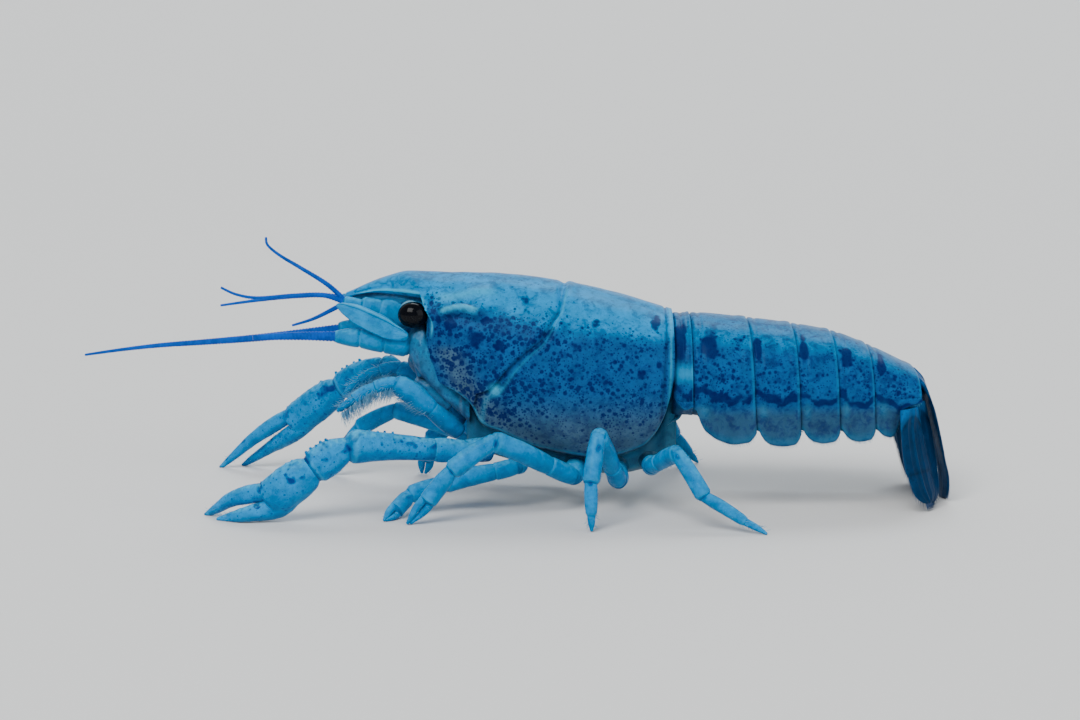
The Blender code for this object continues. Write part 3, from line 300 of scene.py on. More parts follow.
NAVY = (0.001, 0.007, 0.085)
shield_finish = shell_finish("blue shield shell", back=(0.0, 0.27, 0.6), flank=(0.006, 0.084, 0.255),
                             under=(0.05, 0.115, 0.19), spot=NAVY, light=(0.05, 0.52, 0.8),
                             speckle=0.84, marble=0.5)


def shield_lead(station, share):
    """How far a line of the shield is swung forward, so that one line follows the groove."""
    pull = np.where(station < GROOVE_X, (station - CHEEK_FRONT_X) / (GROOVE_X - CHEEK_FRONT_X),
                    (SHIELD_REAR_X - station) / (SHIELD_REAR_X - GROOVE_X))
    return np.maximum(pull, 0.0) * along(share, GROOVE_RUN)


def softened(x, table):
    """A table's values, evened out over the shoulder's span."""
    return sum(along(x + shift, table) for shift in SHOULDER_SPAN) / len(SHOULDER_SPAN)


def over_eye(share):
    """1 above the eye, easing to 0 where the orbit's rim stands upright beside it."""
    return ease((0.53 - share) / 0.16)


def shield_surface(station, share):
    """X, half-width and height of the shield before its rims and grooves are raised."""
    x = station + shield_lead(station, share)
    arch = x + ORBIT_ARCH * over_eye(share) * between(x, -16.0, -11.0, 1.5)
    top, edge_z, edge_y = (along(x, table) for table in (SHIELD_TOP, SHIELD_EDGE_Z, SHIELD_EDGE_Y))
    half, widest = along(arch, SHIELD_HALF_WIDTH), along(arch, SHIELD_WIDEST_Z)
    back = 1 - ease((share - 0.24) / 0.2)
    half = half + back * (softened(x, SHIELD_HALF_WIDTH) - half)
    widest = widest + back * (softened(x, SHIELD_WIDEST_Z) - widest)
    turn = np.minimum(share / UPPER_SHARE, 1.0) * math.pi / 2
    beak = 1 - 0.25 * ease((BEAK_ROOT_X - x) / 3.0)
    fall = np.maximum(share - UPPER_SHARE, 0.0) / (1 - UPPER_SHARE) * LOWER_ARC
    inward = (1 - np.cos(fall)) / (1 - math.cos(LOWER_ARC))
    down = np.sin(fall) / math.sin(LOWER_ARC)
    upper = share <= UPPER_SHARE
    y = np.where(upper, half * np.sin(turn), half - (half - edge_y) * inward)
    z = np.where(upper, widest + (top - widest) * np.cos(turn) ** beak,
                 widest - (widest - edge_z) * down)
    lead = CHEEK_LEAD * ease((share - 0.5) / 0.4) * ease((-9.0 - x) / 3.9)
    lead = lead * ease((station - ORBIT_X + 0.6) / 0.6)
    return x - lead, y, z, widest


def shoulder_line(station, share, width):
    """The faint ridge that carries the beak's rim on over the shoulder."""
    middle = 0.32 - 0.1 * ease((station + 12.8) / 7.0)
    return hump(share - middle, width) * between(station, BEAK_ROOT_X, -4.0, 2.5)


def brow_ridge(station):
    """The share at which the short ridge behind the eye runs."""
    return 0.345 + 0.055 * ease((-8.5 - station) / 4.0)


def shield_relief(station, share):
    """Rise of the rims and ridges, and fall of the grooves, in millimetres."""
    neck = ease(share / 0.1) * 0.6 + 0.4
    beak = ease((station - BEAK_TIP_X - 0.5) / 2.5) * ease((BEAK_ROOT_X + 0.1 - station) / 0.5)
    brow = ease((station + 12.2) / 0.6) * ease((-3.5 - station) / 5.0)
    # The groove across the neck, and the low swelling behind it.
    rise = -0.48 * hump(station - GROOVE_X, 0.42) * neck * ease((1 - share) / 0.06)
    rise += 0.13 * hump(station - GROOVE_X - 0.95, 0.5) * neck
    # The beak's rim with the hollow inside it, and the ridge that carries it on.
    rise += 0.26 * hump(share - BEAK_RIM, 0.035) * beak
    rise -= 0.16 * hump(share - BEAK_RIM + 0.08, 0.035) * beak
    rise += 0.2 * shoulder_line(station, share, 0.035)
    # The short ridge behind the eye, and the hollow under it.
    rise += 0.5 * hump(share - brow_ridge(station), 0.022) * brow
    rise -= 0.2 * hump(share - 0.40, 0.025) * between(station, -12.5, -5.0, 1.2)
    # The fine line beside the back's middle, and the groove before the rear rim.
    rise -= 0.09 * hump(share - 0.1, 0.02) * between(station, 4.0, 15.0, 1.0)
    rise -= 0.2 * hump(station - REAR_GROOVE_X, 0.16)
    # The rims along the lower edge and down the front of the cheek.
    rise += 0.14 * hump(share - 0.955, 0.02) * ease((station + 11.0) / 2.0)
    rise += 0.16 * hump(station - CHEEK_FRONT_X, 0.3) * ease((share - 0.5) / 0.08)
    return rise


stations = np.unique(np.concatenate([np.arange(*span) for span in SHIELD_SPANS]))
station, share = np.meshgrid(stations, np.linspace(0.0, 1.0, SHIELD_COLUMNS), indexing="ij")
x, y, z, widest = shield_surface(station, share)
out_y, out_z = y, z - widest
length = np.maximum(np.hypot(out_y, out_z), 1e-6)
wave = lumps_at(np.stack((x, y, z), -1), 0.5)
relief = shield_relief(station, share) + 0.06 * wave * ease((1 - share) / 0.1)
y, z = y + out_y / length * relief, z + out_z / length * relief
recess = np.minimum(y[:, -1:] / 6.0, 1.0)
inner_y = (y[:, -1:] - recess) * np.array((1.0, 0.5, 0.0, -0.5, -1.0))
inner_z = z[:, -1:] + 0.6 * recess * np.ones(HOLLOW_COLUMNS)


def last_repeated(values, count):
    """The last column of the values, a number of times."""
    return np.repeat(values[:, -1:], count, axis=1)


def both_sides(values, inner, sign=1.0):
    """The left side's values, then the right side's, then the underside's."""
    return np.concatenate((sign * values[:, :0:-1], values, inner), axis=1)


def round_spot(x, z, spot_x, spot_z, radius):
    """1 in the middle of a round spot, falling to 0 past its edge."""
    return np.exp(-(((x - spot_x) ** 2 + (z - spot_z) ** 2) / radius ** 2) ** 1.3)


def shield_marks():
    """Where the shield is bright, pale, speckled and blotched, and where painted highlights and painted
    shade lie on it.
    """
    flank = ease((share - 0.26) / 0.14)
    pale_cheek = hump(x + 9.8 - (17 - z) * 0.5, 2.2) * ease((21 - z) / 2) * ease((z - 9.5) / 3)
    back = 1 - ease((share - 0.22) / 0.22) + 0.12 * ease((-6 - x) / 6) + 0.9 * ease((BEAK_ROOT_X - x) / 0.8)
    dots = flank * (0.56 - 0.3 * ease((14 - z) / 6)) + 0.3 + 0.4 * hump(x + 7.5, 5.0) * flank
    blotch = 0.6 * hump(x + 12.1, 0.5) * between(z, 18.0, 25.2, 1.5)
    for spot in SHIELD_SPOTS:
        blotch += 0.75 * round_spot(x, z, *spot)
    brow = share - brow_ridge(station)
    orbit = ORBIT_X - ORBIT_ARCH * over_eye(share)
    # Painted highlights lie on the rims and ridges: beak, shoulder, brow, orbit, neck groove, rear and
    # lower edge.
    beak = ease((station - BEAK_TIP_X - 0.1) / 2) * ease((BEAK_ROOT_X + 0.2 - station) / 0.5)
    light = 0.95 * hump(share - BEAK_RIM, 0.028) * beak
    light += 0.5 * shoulder_line(station, share, 0.03)
    light += 0.5 * hump(share - 0.97, 0.03) * ease((-13.6 - station) / 0.6)
    light += 1.0 * hump(brow, 0.013) * between(station, -12.3, -6.2, 1.2)
    light += 0.7 * hump(station - orbit - 0.05, 0.14) * ease((25.9 - z) / 0.5) * ease((z - 20.5) / 1.5)
    light += (0.5 - 0.3 * flank) * hump(station - GROOVE_X - 0.5, 0.13) * ease((share - 0.05) / 0.1)
    light += 0.4 * hump(station - REAR_RIM_X, 0.15)
    light += 0.35 * hump(share - 0.965, 0.015) * ease((station + 8) / 3)
    # A bright dot on the cheek.
    light += 0.9 * np.exp(-((x - BRIGHT_CHEEK_DOT[0]) ** 2 + (z - BRIGHT_CHEEK_DOT[1]) ** 2) / 0.35)
    # Painted shade lies in the neck groove, under the brow and before the rear rim.
    dark = 0.75 * hump(station - GROOVE_X, 0.2) * ease((share - 0.12) / 0.15)
    dark += 0.8 * hump(brow - 0.04, 0.018) * between(station, -12.6, -5.5, 1.5)
    dark += 0.55 * hump(station - REAR_GROOVE_X, 0.12)
    return {"back": back, "under": 0.95 * ease((17.0 - z) / 9.0) + 0.85 * pale_cheek,
            "speckle": dots * ease((x + 15.0) / 2.5), "blotch": blotch, "light": light, "dark": dark}


ring_x = both_sides(x, last_repeated(x, HOLLOW_COLUMNS))
ring_y = both_sides(y, inner_y, -1.0)
ring = np.stack((ring_x, ring_y, both_sides(z, inner_z)), -1)
marks = {kind: both_sides(values, last_repeated(values, HOLLOW_COLUMNS))
         for kind, values in shield_marks().items()}
fitted(shell_mesh("shield_shell", [ring], marks, sharp=50), shield_finish, "shell_blue", "shield")


# Tail: six plates that slide under one another, each arched over the back and
# drawn down on both sides into a rounded lobe. They are the shield's shell, with
# a painted highlight along the rear rim, painted shade where the plates overlap,
# a navy band above the lobes and one dark spot on each side.
TAIL_TOP = ((16.3, 22.9), (18.5, 22.9), (24.3, 22.4), (30.6, 21.6), (35.4, 20.7),
            (39.9, 19.0), (43.9, 17.1), (45.8, 16.1))
TAIL_HALF_WIDTH = ((16.3, 8.1), (21.0, 8.4), (26.0, 8.2), (31.0, 7.9), (36.0, 7.4),
                   (40.0, 6.8), (45.8, 5.4))
TAIL_WIDEST_Z = 13.6
TAIL_BELLY_Z = ((16.3, 11.4), (40.0, 11.0), (43.0, 12.3), (45.8, 12.6))
TAIL_LEAN = ((16.3, 0.0), (25.0, 0.9), (45.8, 0.5))
TAIL_FULLNESS = 0.87
TAIL_SEGMENTS = (
    (16.3, 18.1, ((0.0, 13.4), (0.5, 12.4), (1.0, 12.8))),
    (18.4, 25.0, ((0.0, 12.4), (0.07, 10.9), (0.16, 9.6), (0.34, 8.2), (0.6, 7.6), (0.85, 7.8), (0.95, 8.5),
                  (1.0, 9.4))),
    (25.3, 30.4, ((0.0, 9.6), (0.06, 8.6), (0.16, 7.9), (0.3, 7.5), (0.55, 7.3), (0.85, 7.5), (0.95, 8.1),
                  (1.0, 9.0))),
    (30.7, 35.2, ((0.0, 9.6), (0.06, 8.8), (0.16, 8.2), (0.3, 7.8), (0.55, 7.6), (0.85, 7.8), (0.95, 8.4),
                  (1.0, 9.2))),
    (35.5, 39.6, ((0.0, 9.6), (0.06, 8.9), (0.16, 8.3), (0.3, 7.9), (0.55, 7.7), (0.85, 7.9), (0.95, 8.5),
                  (1.0, 9.3))),
    (39.9, 45.5, ((0.0, 9.5), (0.06, 8.8), (0.16, 8.3), (0.3, 8.1), (0.4, 8.6), (0.47, 10.4), (0.54, 12.0),
                  (1.0, 12.9))),
)
LOBE_RAISE = 0.7
TUCK = 0.9
FIRST_TUCK = 0.35
FIRST_SHINE_Z = 16.9
LONG_PLATES = (1, 5)
PLATE_COLUMNS = 45
HOLLOW_INWARD = (0.45, 0.75, 2.6, 5.0)
TAIL_UPPER_SHARE = 0.7
LOBE_SHARE = 0.3
DARK_SPOTS = ((16.8, 20.2, 0.8, 2.5), (20.3, 20.0, 1.0, 1.5), (26.0, 19.5, 0.55, 1.4),
              (31.5, 19.4, 0.55, 1.2), (36.7, 18.4, 0.75, 1.1), (40.9, 17.3, 0.6, 0.9))
BAND_Z = ((17.0, 14.7), (24.0, 14.1), (31.0, 13.9), (38.0, 13.4), (45.5, 12.8))
tail_finish = shell_finish("blue tail shell", back=(0.0, 0.18, 0.42), flank=(0.004, 0.088, 0.265),
                           under=(0.026, 0.078, 0.155), spot=NAVY, light=(0.01, 0.3, 0.58), speckle=0.85,
                           marble=0.6, soft=0.2)


def lobe_edge(place, lobe):
    """Height of a plate's lower edge; the lobes' lowest parts are drawn up a little."""
    edge = along(place, lobe)
    return edge + LOBE_RAISE * ease((10.6 - edge) / 2.6)


def inner_added(values, *inner):
    """One side's values, then those of the hollow underside."""
    return np.concatenate((values, *inner), axis=1)


def mirrored(values, sign=1.0):
    """The right side's values in reverse, then the left side's."""
    return np.concatenate((sign * values[:, ::-1], values[:, 1:]), axis=1)


def plate_surface(front, rear, lobe, tuck, steps):
    """One side of a tail plate with its hollow underside, and the shares down and along it."""
    places = np.concatenate((np.linspace(-tuck, 0.0, 5)[:-1], np.linspace(0.0, rear - front, steps)))
    reach, share = np.meshgrid(places, np.linspace(0.0, 1.0, PLATE_COLUMNS), indexing="ij")
    place = np.clip(reach / (rear - front), 0.0, 1.0)
    x = front + reach
    edge_z = lobe_edge(place, lobe) + 0.5 * ease(-reach / tuck)
    top, half = along(x, TAIL_TOP), along(x, TAIL_HALF_WIDTH)
    widest = np.maximum(np.minimum(TAIL_WIDEST_Z, top - 2.5), edge_z + 0.4)
    turn = np.minimum(share / TAIL_UPPER_SHARE, 1.0) * math.pi / 2
    down = np.maximum(share - TAIL_UPPER_SHARE, 0.0) / LOBE_SHARE
    upper = share <= TAIL_UPPER_SHARE
    y = np.where(upper, half * np.sin(turn) ** TAIL_FULLNESS, half * (1 - 0.03 * down * down))
    z = np.where(upper, widest + (top - widest) * np.maximum(np.cos(turn), 0) ** TAIL_FULLNESS,
                 widest - (widest - edge_z) * down)
    # The front is drawn in under the plate ahead, with a groove where that plate's rim ends.
    lift = -0.5 * ease((0.1 - reach) / 0.6) - 0.12 * hump(reach - 0.75, 0.22) * ease((0.78 - share) / 0.1)
    # The rear rim is raised, and so is the lobe's, under a groove along its root.
    lift += 0.1 * ease((place - 0.75) / 0.15) - 0.08 * ease((place - 0.965) / 0.035)
    lift += 0.1 * hump(share - 0.96, 0.03) - 0.12 * hump(share - 0.735, 0.03) * ease(place / 0.2)
    lift += 0.05 * np.sin(3 * x + 9 * share) * ease((share - 0.75) / 0.1)
    y = y + lift * np.minimum(y / 3.0, 1.0)
    z = z + lift * (1 - ease(share / 0.6))
    x = x + along(x, TAIL_LEAN) * share
    low, belly = z[:, -1:], along(x[:, -1:], TAIL_BELLY_Z)
    belly = np.where(low < 11.0, np.maximum(belly, low + 0.3), belly)
    y = inner_added(y, *(y[:, -1:] - inward for inward in HOLLOW_INWARD))
    z = inner_added(z, low + 0.05, low + 0.25, belly, belly - 0.25)
    x, share, place = (inner_added(values, last_repeated(values, len(HOLLOW_INWARD)))
                       for values in (x, share, place))
    return x, y, z, share, place


def plate_marks(x, y, z, share, place, front, rear, dark_spot):
    """Where a tail plate is bright, pale, speckled and blotched, and where painted highlights and painted
    shade lie on it.
    """
    spot_x, spot_z, spot_wide, spot_tall = dark_spot
    spot = ((x - spot_x) / spot_wide) ** 2 + ((z - spot_z) / spot_tall) ** 2
    # The navy band runs in waves above the lobes.
    band = z - along(x, BAND_Z) - 0.6 * np.cos((x - front) / (rear - front) * 1.5 * math.pi)
    band = band + 0.2 * np.sin(3.1 * x)
    clouds = ease((lumps_at(np.stack((x, y, z), -1), 0.75) + 0.1) / 0.5)
    return {
        "back": 1 - ease((share - 0.2) / 0.3),
        "under": 0.9 * ease((13.8 - z) / 2.5) + 0.5 * hump(place - 0.12, 0.12) * ease((13.6 - z) / 1.0),
        "speckle": (0.45 + 0.3 * ease((share - 0.25) / 0.2)) * ease((z - 11.5) / 2.5),
        "blotch": 1.1 * np.exp(-(spot ** 1.5)) + 0.95 * hump(band, 0.5) * (share > 0.4)
        + 0.35 * clouds * ease((z - 13.0) / 1.0),
        # Painted highlights on the raised rear rim and the lobe's rim, and a bright patch near the lobe's
        # front.
        "light": 0.4 * hump(place - 0.975, 0.025) * ease((0.9 - share) / 0.2)
        + 0.25 * hump(share - 0.975, 0.02) + 0.3 * hump(place - 0.13, 0.09) * hump(z - 12.4, 0.8),
        # Painted shade where the front tucks under the plate ahead, in the groove along the lobe's root and
        # along the lobe's rear edge.
        "dark": 0.4 * ease((0.25 - x + front) / 0.5) + 0.3 * hump(share - 0.735, 0.02)
        + 0.6 * hump(place - 0.995, 0.015) * ease((13.4 - z) / 1.0)}


for number, (front, rear, lobe) in enumerate(TAIL_SEGMENTS):
    tuck = TUCK if number else FIRST_TUCK
    steps = 36 if number in LONG_PLATES else 26
    x, y, z, share, place = plate_surface(front, rear, lobe, tuck, steps)
    marks = plate_marks(x, y, z, share, place, front, rear, DARK_SPOTS[number])
    if number == 0:
        marks["light"] += hump(z - FIRST_SHINE_Z, 0.9)
    ring = np.stack((mirrored(x), mirrored(y, -1.0), mirrored(z)), -1)
    marks = {kind: mirrored(values) for kind, values in marks.items()}
    plate = shell_mesh(f"tail_plate_{number + 1}", [ring], marks, sharp=50)
    fitted(plate, tail_finish, "shell_blue", f"tail_{number + 1}")


# Swimmerets: five pairs of soft two-bladed paddles under the tail, each hinged to
# the belly under the middle of its plate and fringed with fine hairs.
SWIMMERET_REACH = ((-1.6, -0.2, -1.7), (3.6, 0.5, -2.0), (3.6, 0.5, -2.2), (3.5, 0.5, -2.1),
                   (3.3, 0.5, -2.0))
SWIMMERET_Y = 3.1
SWIMMERET_SPREAD = 0.55
SWIMMERET_ROOT_RISE = 0.5
SWIMMERET_SAG = (0.0, 0.0, 0.6)
FIRST_PADDLE_SIZE = 0.6
PADDLE_TABLE = ((0.0, 0.4, 0.4), (0.3, 0.75, 0.3), (0.8, 0.7, 0.22), (1.0, 0.35, 0.16))
PADDLE_HAIR = {"width": 0.045, "bend": 0.12}
PADDLE_HAIR_LENGTH = 0.7
FRINGE_STEP = np.array((0.0, 0.6, 0.0))
FRINGE_DROP = np.array((0.0, 0.0, 0.05))
DOME_TURNS = np.radians((84.0, 62.0, 40.0, 18.0))
AHEAD = (1.0, 0.0, 0.0)
ACROSS = (0.0, 1.0, 0.0)
UP = (0.0, 0.0, 1.0)


def unit(vector):
    """The direction of a vector."""
    vector = np.asarray(vector, float)
    return vector / np.maximum(np.linalg.norm(vector, axis=-1, keepdims=True), 1e-9)


def lengths_along(points):
    """How far each point of a line is from its start."""
    return np.concatenate(([0.0], np.cumsum(np.linalg.norm(np.diff(points, axis=0), axis=1))))


def smooth_line(points, share):
    """Places at shares of the length of a smooth line through a few points."""
    points = np.asarray(points, float)
    lengths = lengths_along(points)
    return np.stack([along(share, list(zip(lengths / lengths[-1], points[:, k]))) for k in range(3)], -1)


def limb(points, table, axis, sides=20, rings=28, dome=0.5):
    """Oval rings along a smooth line, rounded at both ends; table holds (share, wide, tall)."""
    share = np.linspace(0.0, 1.0, rings)
    centre = smooth_line(points, share)
    heading = unit(np.gradient(centre, axis=0))
    wide = along(share, [(place, width) for place, width, _ in table])
    tall = along(share, [(place, height) for place, _, height in table])
    rounding = np.sin(DOME_TURNS)[:, None]
    first, last = (dome * min(wide[end], tall[end]) * rounding * heading[end] for end in (0, -1))
    centre = np.concatenate((centre[0] - first, centre, (centre[-1] + last)[::-1]))
    small = np.cos(DOME_TURNS)
    sizes = np.concatenate((small, np.ones(rings), small[::-1]))
    heading, wide, tall = (np.concatenate((values[:1].repeat(4, 0), values, values[-1:].repeat(4, 0)))
                           for values in (heading, wide, tall))
    up = unit(np.cross(axis, heading))
    side = np.cross(heading, up)
    angle = np.linspace(0.0, 2 * math.pi, sides, endpoint=False)
    ring = (side[:, None] * (wide * sizes)[:, None, None] * np.cos(angle)[None, :, None]
            + up[:, None] * (tall * sizes)[:, None, None] * np.sin(angle)[None, :, None])
    return centre[:, None] + ring


def points_and_normals(piece):
    """A piece's points on the animal in millimetres, and their normals."""
    points = np.empty(len(piece.data.vertices) * 3)
    piece.data.vertices.foreach_get("co", points)
    normals = np.empty(len(points))
    piece.data.vertex_normals.foreach_get("vector", normals)
    return points.reshape(-1, 3) / MM - FRAME_SHIFT, normals.reshape(-1, 3)


def started_tree(name, **kinds):
    """A Geometry Nodes tree with its named inputs."""
    tree = bpy.data.node_groups.new(name, "GeometryNodeTree")
    for label, kind in {"Geometry": "Geometry", **kinds, "Finish": "Material"}.items():
        tree.interface.new_socket(label.replace("_", " "), in_out="INPUT", socket_type="NodeSocket" + kind)
    tree.interface.new_socket("Geometry", in_out="OUTPUT", socket_type="NodeSocketGeometry")
    return tree, added(tree, "NodeGroupInput").outputs


def ended_tree(tree, entry, geometry):
    """Realize what a tree has made and set its material."""
    whole = added(tree, "GeometryNodeRealizeInstances", {"Geometry": geometry})
    finish = added(tree, "GeometryNodeSetMaterial",
                   {"Geometry": whole.outputs["Geometry"], "Material": entry["Finish"]})
    added(tree, "NodeGroupOutput", {"Geometry": finish.outputs["Geometry"]})
    return tree


def bristle_tree():
    """Geometry Nodes that grow one bent, tapered hair on each point, along its lie."""
    tree, entry = started_tree("bristles", Hair_Width="Float", Hair_Bend="Float")
    stem = added(tree, "GeometryNodeCurvePrimitiveLine", {"End": UP})
    fine = added(tree, "GeometryNodeResampleCurve", {"Curve": stem.outputs["Curve"], "Count": 5})
    place = added(tree, "GeometryNodeSplineParameter").outputs["Factor"]
    lean = reckoned(tree, "MULTIPLY", reckoned(tree, "MULTIPLY", place, place), entry["Hair Bend"])
    sideways = added(tree, "ShaderNodeCombineXYZ", {"X": lean})
    bent = added(tree, "GeometryNodeSetPosition",
                 {"Geometry": fine.outputs["Curve"], "Offset": sideways.outputs[0]})
    thin = reckoned(tree, "MULTIPLY_ADD", place, -0.85, 1.0)
    thickness = reckoned(tree, "MULTIPLY", thin, entry["Hair Width"])
    outline = added(tree, "GeometryNodeCurvePrimitiveCircle", {"Resolution": 4, "Radius": 1.0})
    hair = added(tree, "GeometryNodeCurveToMesh",
                 {"Curve": bent.outputs["Geometry"], "Profile Curve": outline.outputs["Curve"],
                  "Scale": thickness, "Fill Caps": True})
    lie = added(tree, "GeometryNodeInputNamedAttribute", {"Name": "lie"}, data_type="FLOAT_VECTOR")
    reach = added(tree, "GeometryNodeInputNamedAttribute", {"Name": "reach"}, data_type="FLOAT")
    aim = added(tree, "FunctionNodeAlignRotationToVector", {"Vector": lie.outputs["Attribute"]}, axis="Z")
    twist = added(tree, "FunctionNodeRandomValue", {"Max": 2 * math.pi, "Seed": 7}, data_type="FLOAT")
    turn = [socket for socket in twist.outputs if socket.type == "VALUE"][0]
    about = added(tree, "ShaderNodeCombineXYZ", {"Z": turn})
    spin = added(tree, "FunctionNodeEulerToRotation", {0: about.outputs[0]})
    turned = added(tree, "FunctionNodeRotateRotation", {0: aim.outputs[0], 1: spin.outputs[0]},
                   rotation_space="LOCAL")
    stretch = added(tree, "ShaderNodeCombineXYZ", {"X": 1.0, "Y": 1.0, "Z": reach.outputs["Attribute"]})
    grow = added(tree, "GeometryNodeInstanceOnPoints",
                 {"Points": entry["Geometry"], "Instance": hair.outputs["Mesh"],
                  "Rotation": turned.outputs[0], "Scale": stretch.outputs[0]})
    return ended_tree(tree, entry, grow.outputs["Instances"])


bristle_nodes = bristle_tree()


def settled(piece):
    """Keep what a piece's modifiers make as its plain mesh."""
    graph = bpy.context.evaluated_depsgraph_get()
    mesh = bpy.data.meshes.new_from_object(piece.evaluated_get(graph))
    old = piece.data
    piece.modifiers.clear()
    piece.data = mesh
    bpy.data.meshes.remove(old)
    mesh.name = piece.name
    mesh.shade_smooth()


def grown(piece, tree, **settings):
    """Run a node tree on a piece; the settings are its named inputs."""
    modifier = piece.modifiers.new(tree.name, "NODES")
    modifier.node_group = tree
    for item in tree.interface.items_tree:
        key = item.name.lower().replace(" ", "_")
        if item.in_out == "INPUT" and key in settings:
            modifier[item.identifier] = settings[key]
    settled(piece)


BAKE_LENGTH = 112.0
BAKE_AXIS_Z = 12.0
BAKE_PATCH = 0.003


def bristles(name, roots, lies, reaches, hair, material, slot):
    """A fringe of hairs from their roots, directions and lengths in millimetres.

    Each hair has its own patch on the map, at its root's place along and round the body.
    """
    fringe = new_piece(name, placed(roots).tolist())
    lie = fringe.data.attributes.new("lie", "FLOAT_VECTOR", "POINT")
    lie.data.foreach_set("vector", unit(lies).ravel().astype(np.float32))
    reach = fringe.data.attributes.new("reach", "FLOAT", "POINT")
    reach.data.foreach_set("value", (np.asarray(reaches) * MM).astype(np.float32))
    width, bend = hair["width"] * MM, hair["bend"] * MM
    grown(fringe, bristle_nodes, hair_width=width, hair_bend=bend, finish=material)
    roots = np.asarray(roots)
    along_body = roots[:, 0] / BAKE_LENGTH + 0.5
    around_body = 0.99 * (np.arctan2(roots[:, 1], roots[:, 2] - BAKE_AXIS_Z) / (2 * np.pi) + 0.5)
    corners = len(fringe.data.loops) // len(roots)
    within = np.tile(np.linspace(0.0, BAKE_PATCH, corners), len(roots))
    flat = np.stack((along_body.repeat(corners) + within, around_body.repeat(corners) + within), -1)
    layer = fringe.data.uv_layers.new(name="OFBake")
    layer.data.foreach_set("uv", flat.ravel().astype(np.float32))
    fitted(fringe, material, slot)


def colour_ramp(tree, value, *stops):
    """The output of a ramp over a value; each stop is a place and its colour."""
    ramp = added(tree, "ShaderNodeValToRGB", {"Fac": value})
    for element, (place, colour) in zip(ramp.color_ramp.elements, stops):
        element.position = place
        element.color = (*colour, 1.0)
    return ramp.outputs["Color"]


def hair_finish(name, deep, bright):
    """Stiff hairs, in patches nearer to one colour or the other."""
    material, tree, shader = new_finish(name)
    where = added(tree, "ShaderNodeTexCoord").outputs["Object"]
    cloud = added(tree, "ShaderNodeTexNoise", {"Vector": where, "Scale": 900})
    colour = colour_ramp(tree, cloud.outputs["Fac"], (0.3, deep), (0.7, bright))
    wired(tree, shader, {"Base Color": colour, "Roughness": 0.5})
    return material


pale_hair = hair_finish("pale blue hairs", (0.03, 0.22, 0.45), (0.16, 0.42, 0.62))
soft_finish = shell_finish("pale underside skin", back=(0.03, 0.16, 0.28), flank=(0.06, 0.17, 0.25),
                           under=(0.11, 0.2, 0.26), spot=(0.005, 0.03, 0.12), light=(0.25, 0.42, 0.5),
                           speckle=0.35, roughness=0.42, pits=0.3, coat=0.1)


def limb_marks(points, normals, spots=(), speckle=0.2, pale=0.5, mottle=0.62):
    """Bright above, paler below, with painted highlights and glints on upward faces and round deep-blue
    spots given as (x, z, radius).
    """
    rise = normals[:, 2]
    blotch = mottle * ease((lumps_at(points, 0.9) - 0.02) / 0.3) * ease((rise + 0.4) / 0.8)
    for spot in spots:
        blotch += 0.6 * round_spot(points[:, 0], points[:, 2], *spot)
    # Painted highlights on faces turned up, broken into glints by lumps of noise.
    glints = lumps_at(points, 2.4, (9.0, 0.0, 0.0))
    light = (0.2 + 0.5 * ease((glints + 0.05) / 0.3)) * ease((rise - 0.4) / 0.45)
    return {"back": ease(0.62 + 0.6 * rise), "under": pale * ease(-0.9 * rise), "speckle": speckle,
            "blotch": blotch, "light": light}


paddles, hair_roots, hair_lies, hair_lengths = [], [], [], []
for number, reach in enumerate(SWIMMERET_REACH):
    front, rear, _ = TAIL_SEGMENTS[number]
    size = 1.0 if number else FIRST_PADDLE_SIZE
    table = [(place, wide * size, tall) for place, wide, tall in PADDLE_TABLE]
    middle_x = 0.5 * (front + rear)
    root_z = float(along(middle_x, TAIL_BELLY_Z)) + SWIMMERET_ROOT_RISE
    for side in (-1, 1):
        for spread in (-SWIMMERET_SPREAD, SWIMMERET_SPREAD):
            root = np.array((middle_x, side * (SWIMMERET_Y + spread * 0.6), root_z))
            tip = root + np.array((reach[0], side * (reach[1] + spread), reach[2]))
            knee = root * 0.65 + tip * 0.35 - SWIMMERET_SAG
            paddles.append(limb((root, knee, tip), table, ACROSS, sides=12, rings=14))
            for share in np.linspace(0.45, 1.0, 10 if number else 5):
                for edge in (-1, 1):
                    middle = knee + (tip - knee) * share
                    hair_roots.append(middle + edge * size * FRINGE_STEP - FRINGE_DROP)
                    hair_lies.append(unit(tip - knee) + np.array((0.0, edge * 0.7, -0.2)))
                    hair_lengths.append(PADDLE_HAIR_LENGTH * size)
paddle_piece = shell_mesh("swimmerets", paddles)
set_marks(paddle_piece, limb_marks(*points_and_normals(paddle_piece), pale=0.8))
fitted(paddle_piece, soft_finish, "pale_under")
bristles("swimmeret_fringes", hair_roots, hair_lies, hair_lengths, PADDLE_HAIR, pale_hair, "pale_under")


# Tail fan: the middle blade and two blades on each side, hinged to the last tail
# plate and folded down to the floor. Each is thin dark shell, stiffened by ribs that
# run its length and fringed with hairs. The outer ones have a seam across them.
TELSON_LINE = ((45.1, 0.0, 15.6), (46.4, 0.0, 14.4), (47.2, 0.0, 12.0), (48.0, 0.0, 8.7),
               (48.7, 0.0, 5.5), (49.3, 0.0, 2.9), (49.4, 0.0, 0.0))
TELSON_WIDTH = ((0.0, 2.7), (0.3, 3.6), (0.6, 4.0), (0.66, 3.75), (0.85, 3.4), (1.0, 2.2))
INNER_BLADE_LINE = ((45.4, 3.1, 12.4), (46.1, 4.5, 7.5), (46.9, 5.0, 3.0), (47.4, 5.1, 0.4))
INNER_BLADE_WIDTH = ((0.0, 1.9), (0.3, 2.6), (0.65, 2.5), (0.88, 2.1), (1.0, 1.2))
OUTER_BLADE_LINE = ((44.3, 5.7, 12.2), (44.8, 6.9, 7.5), (45.9, 7.5, 3.0), (46.7, 7.6, 1.0))
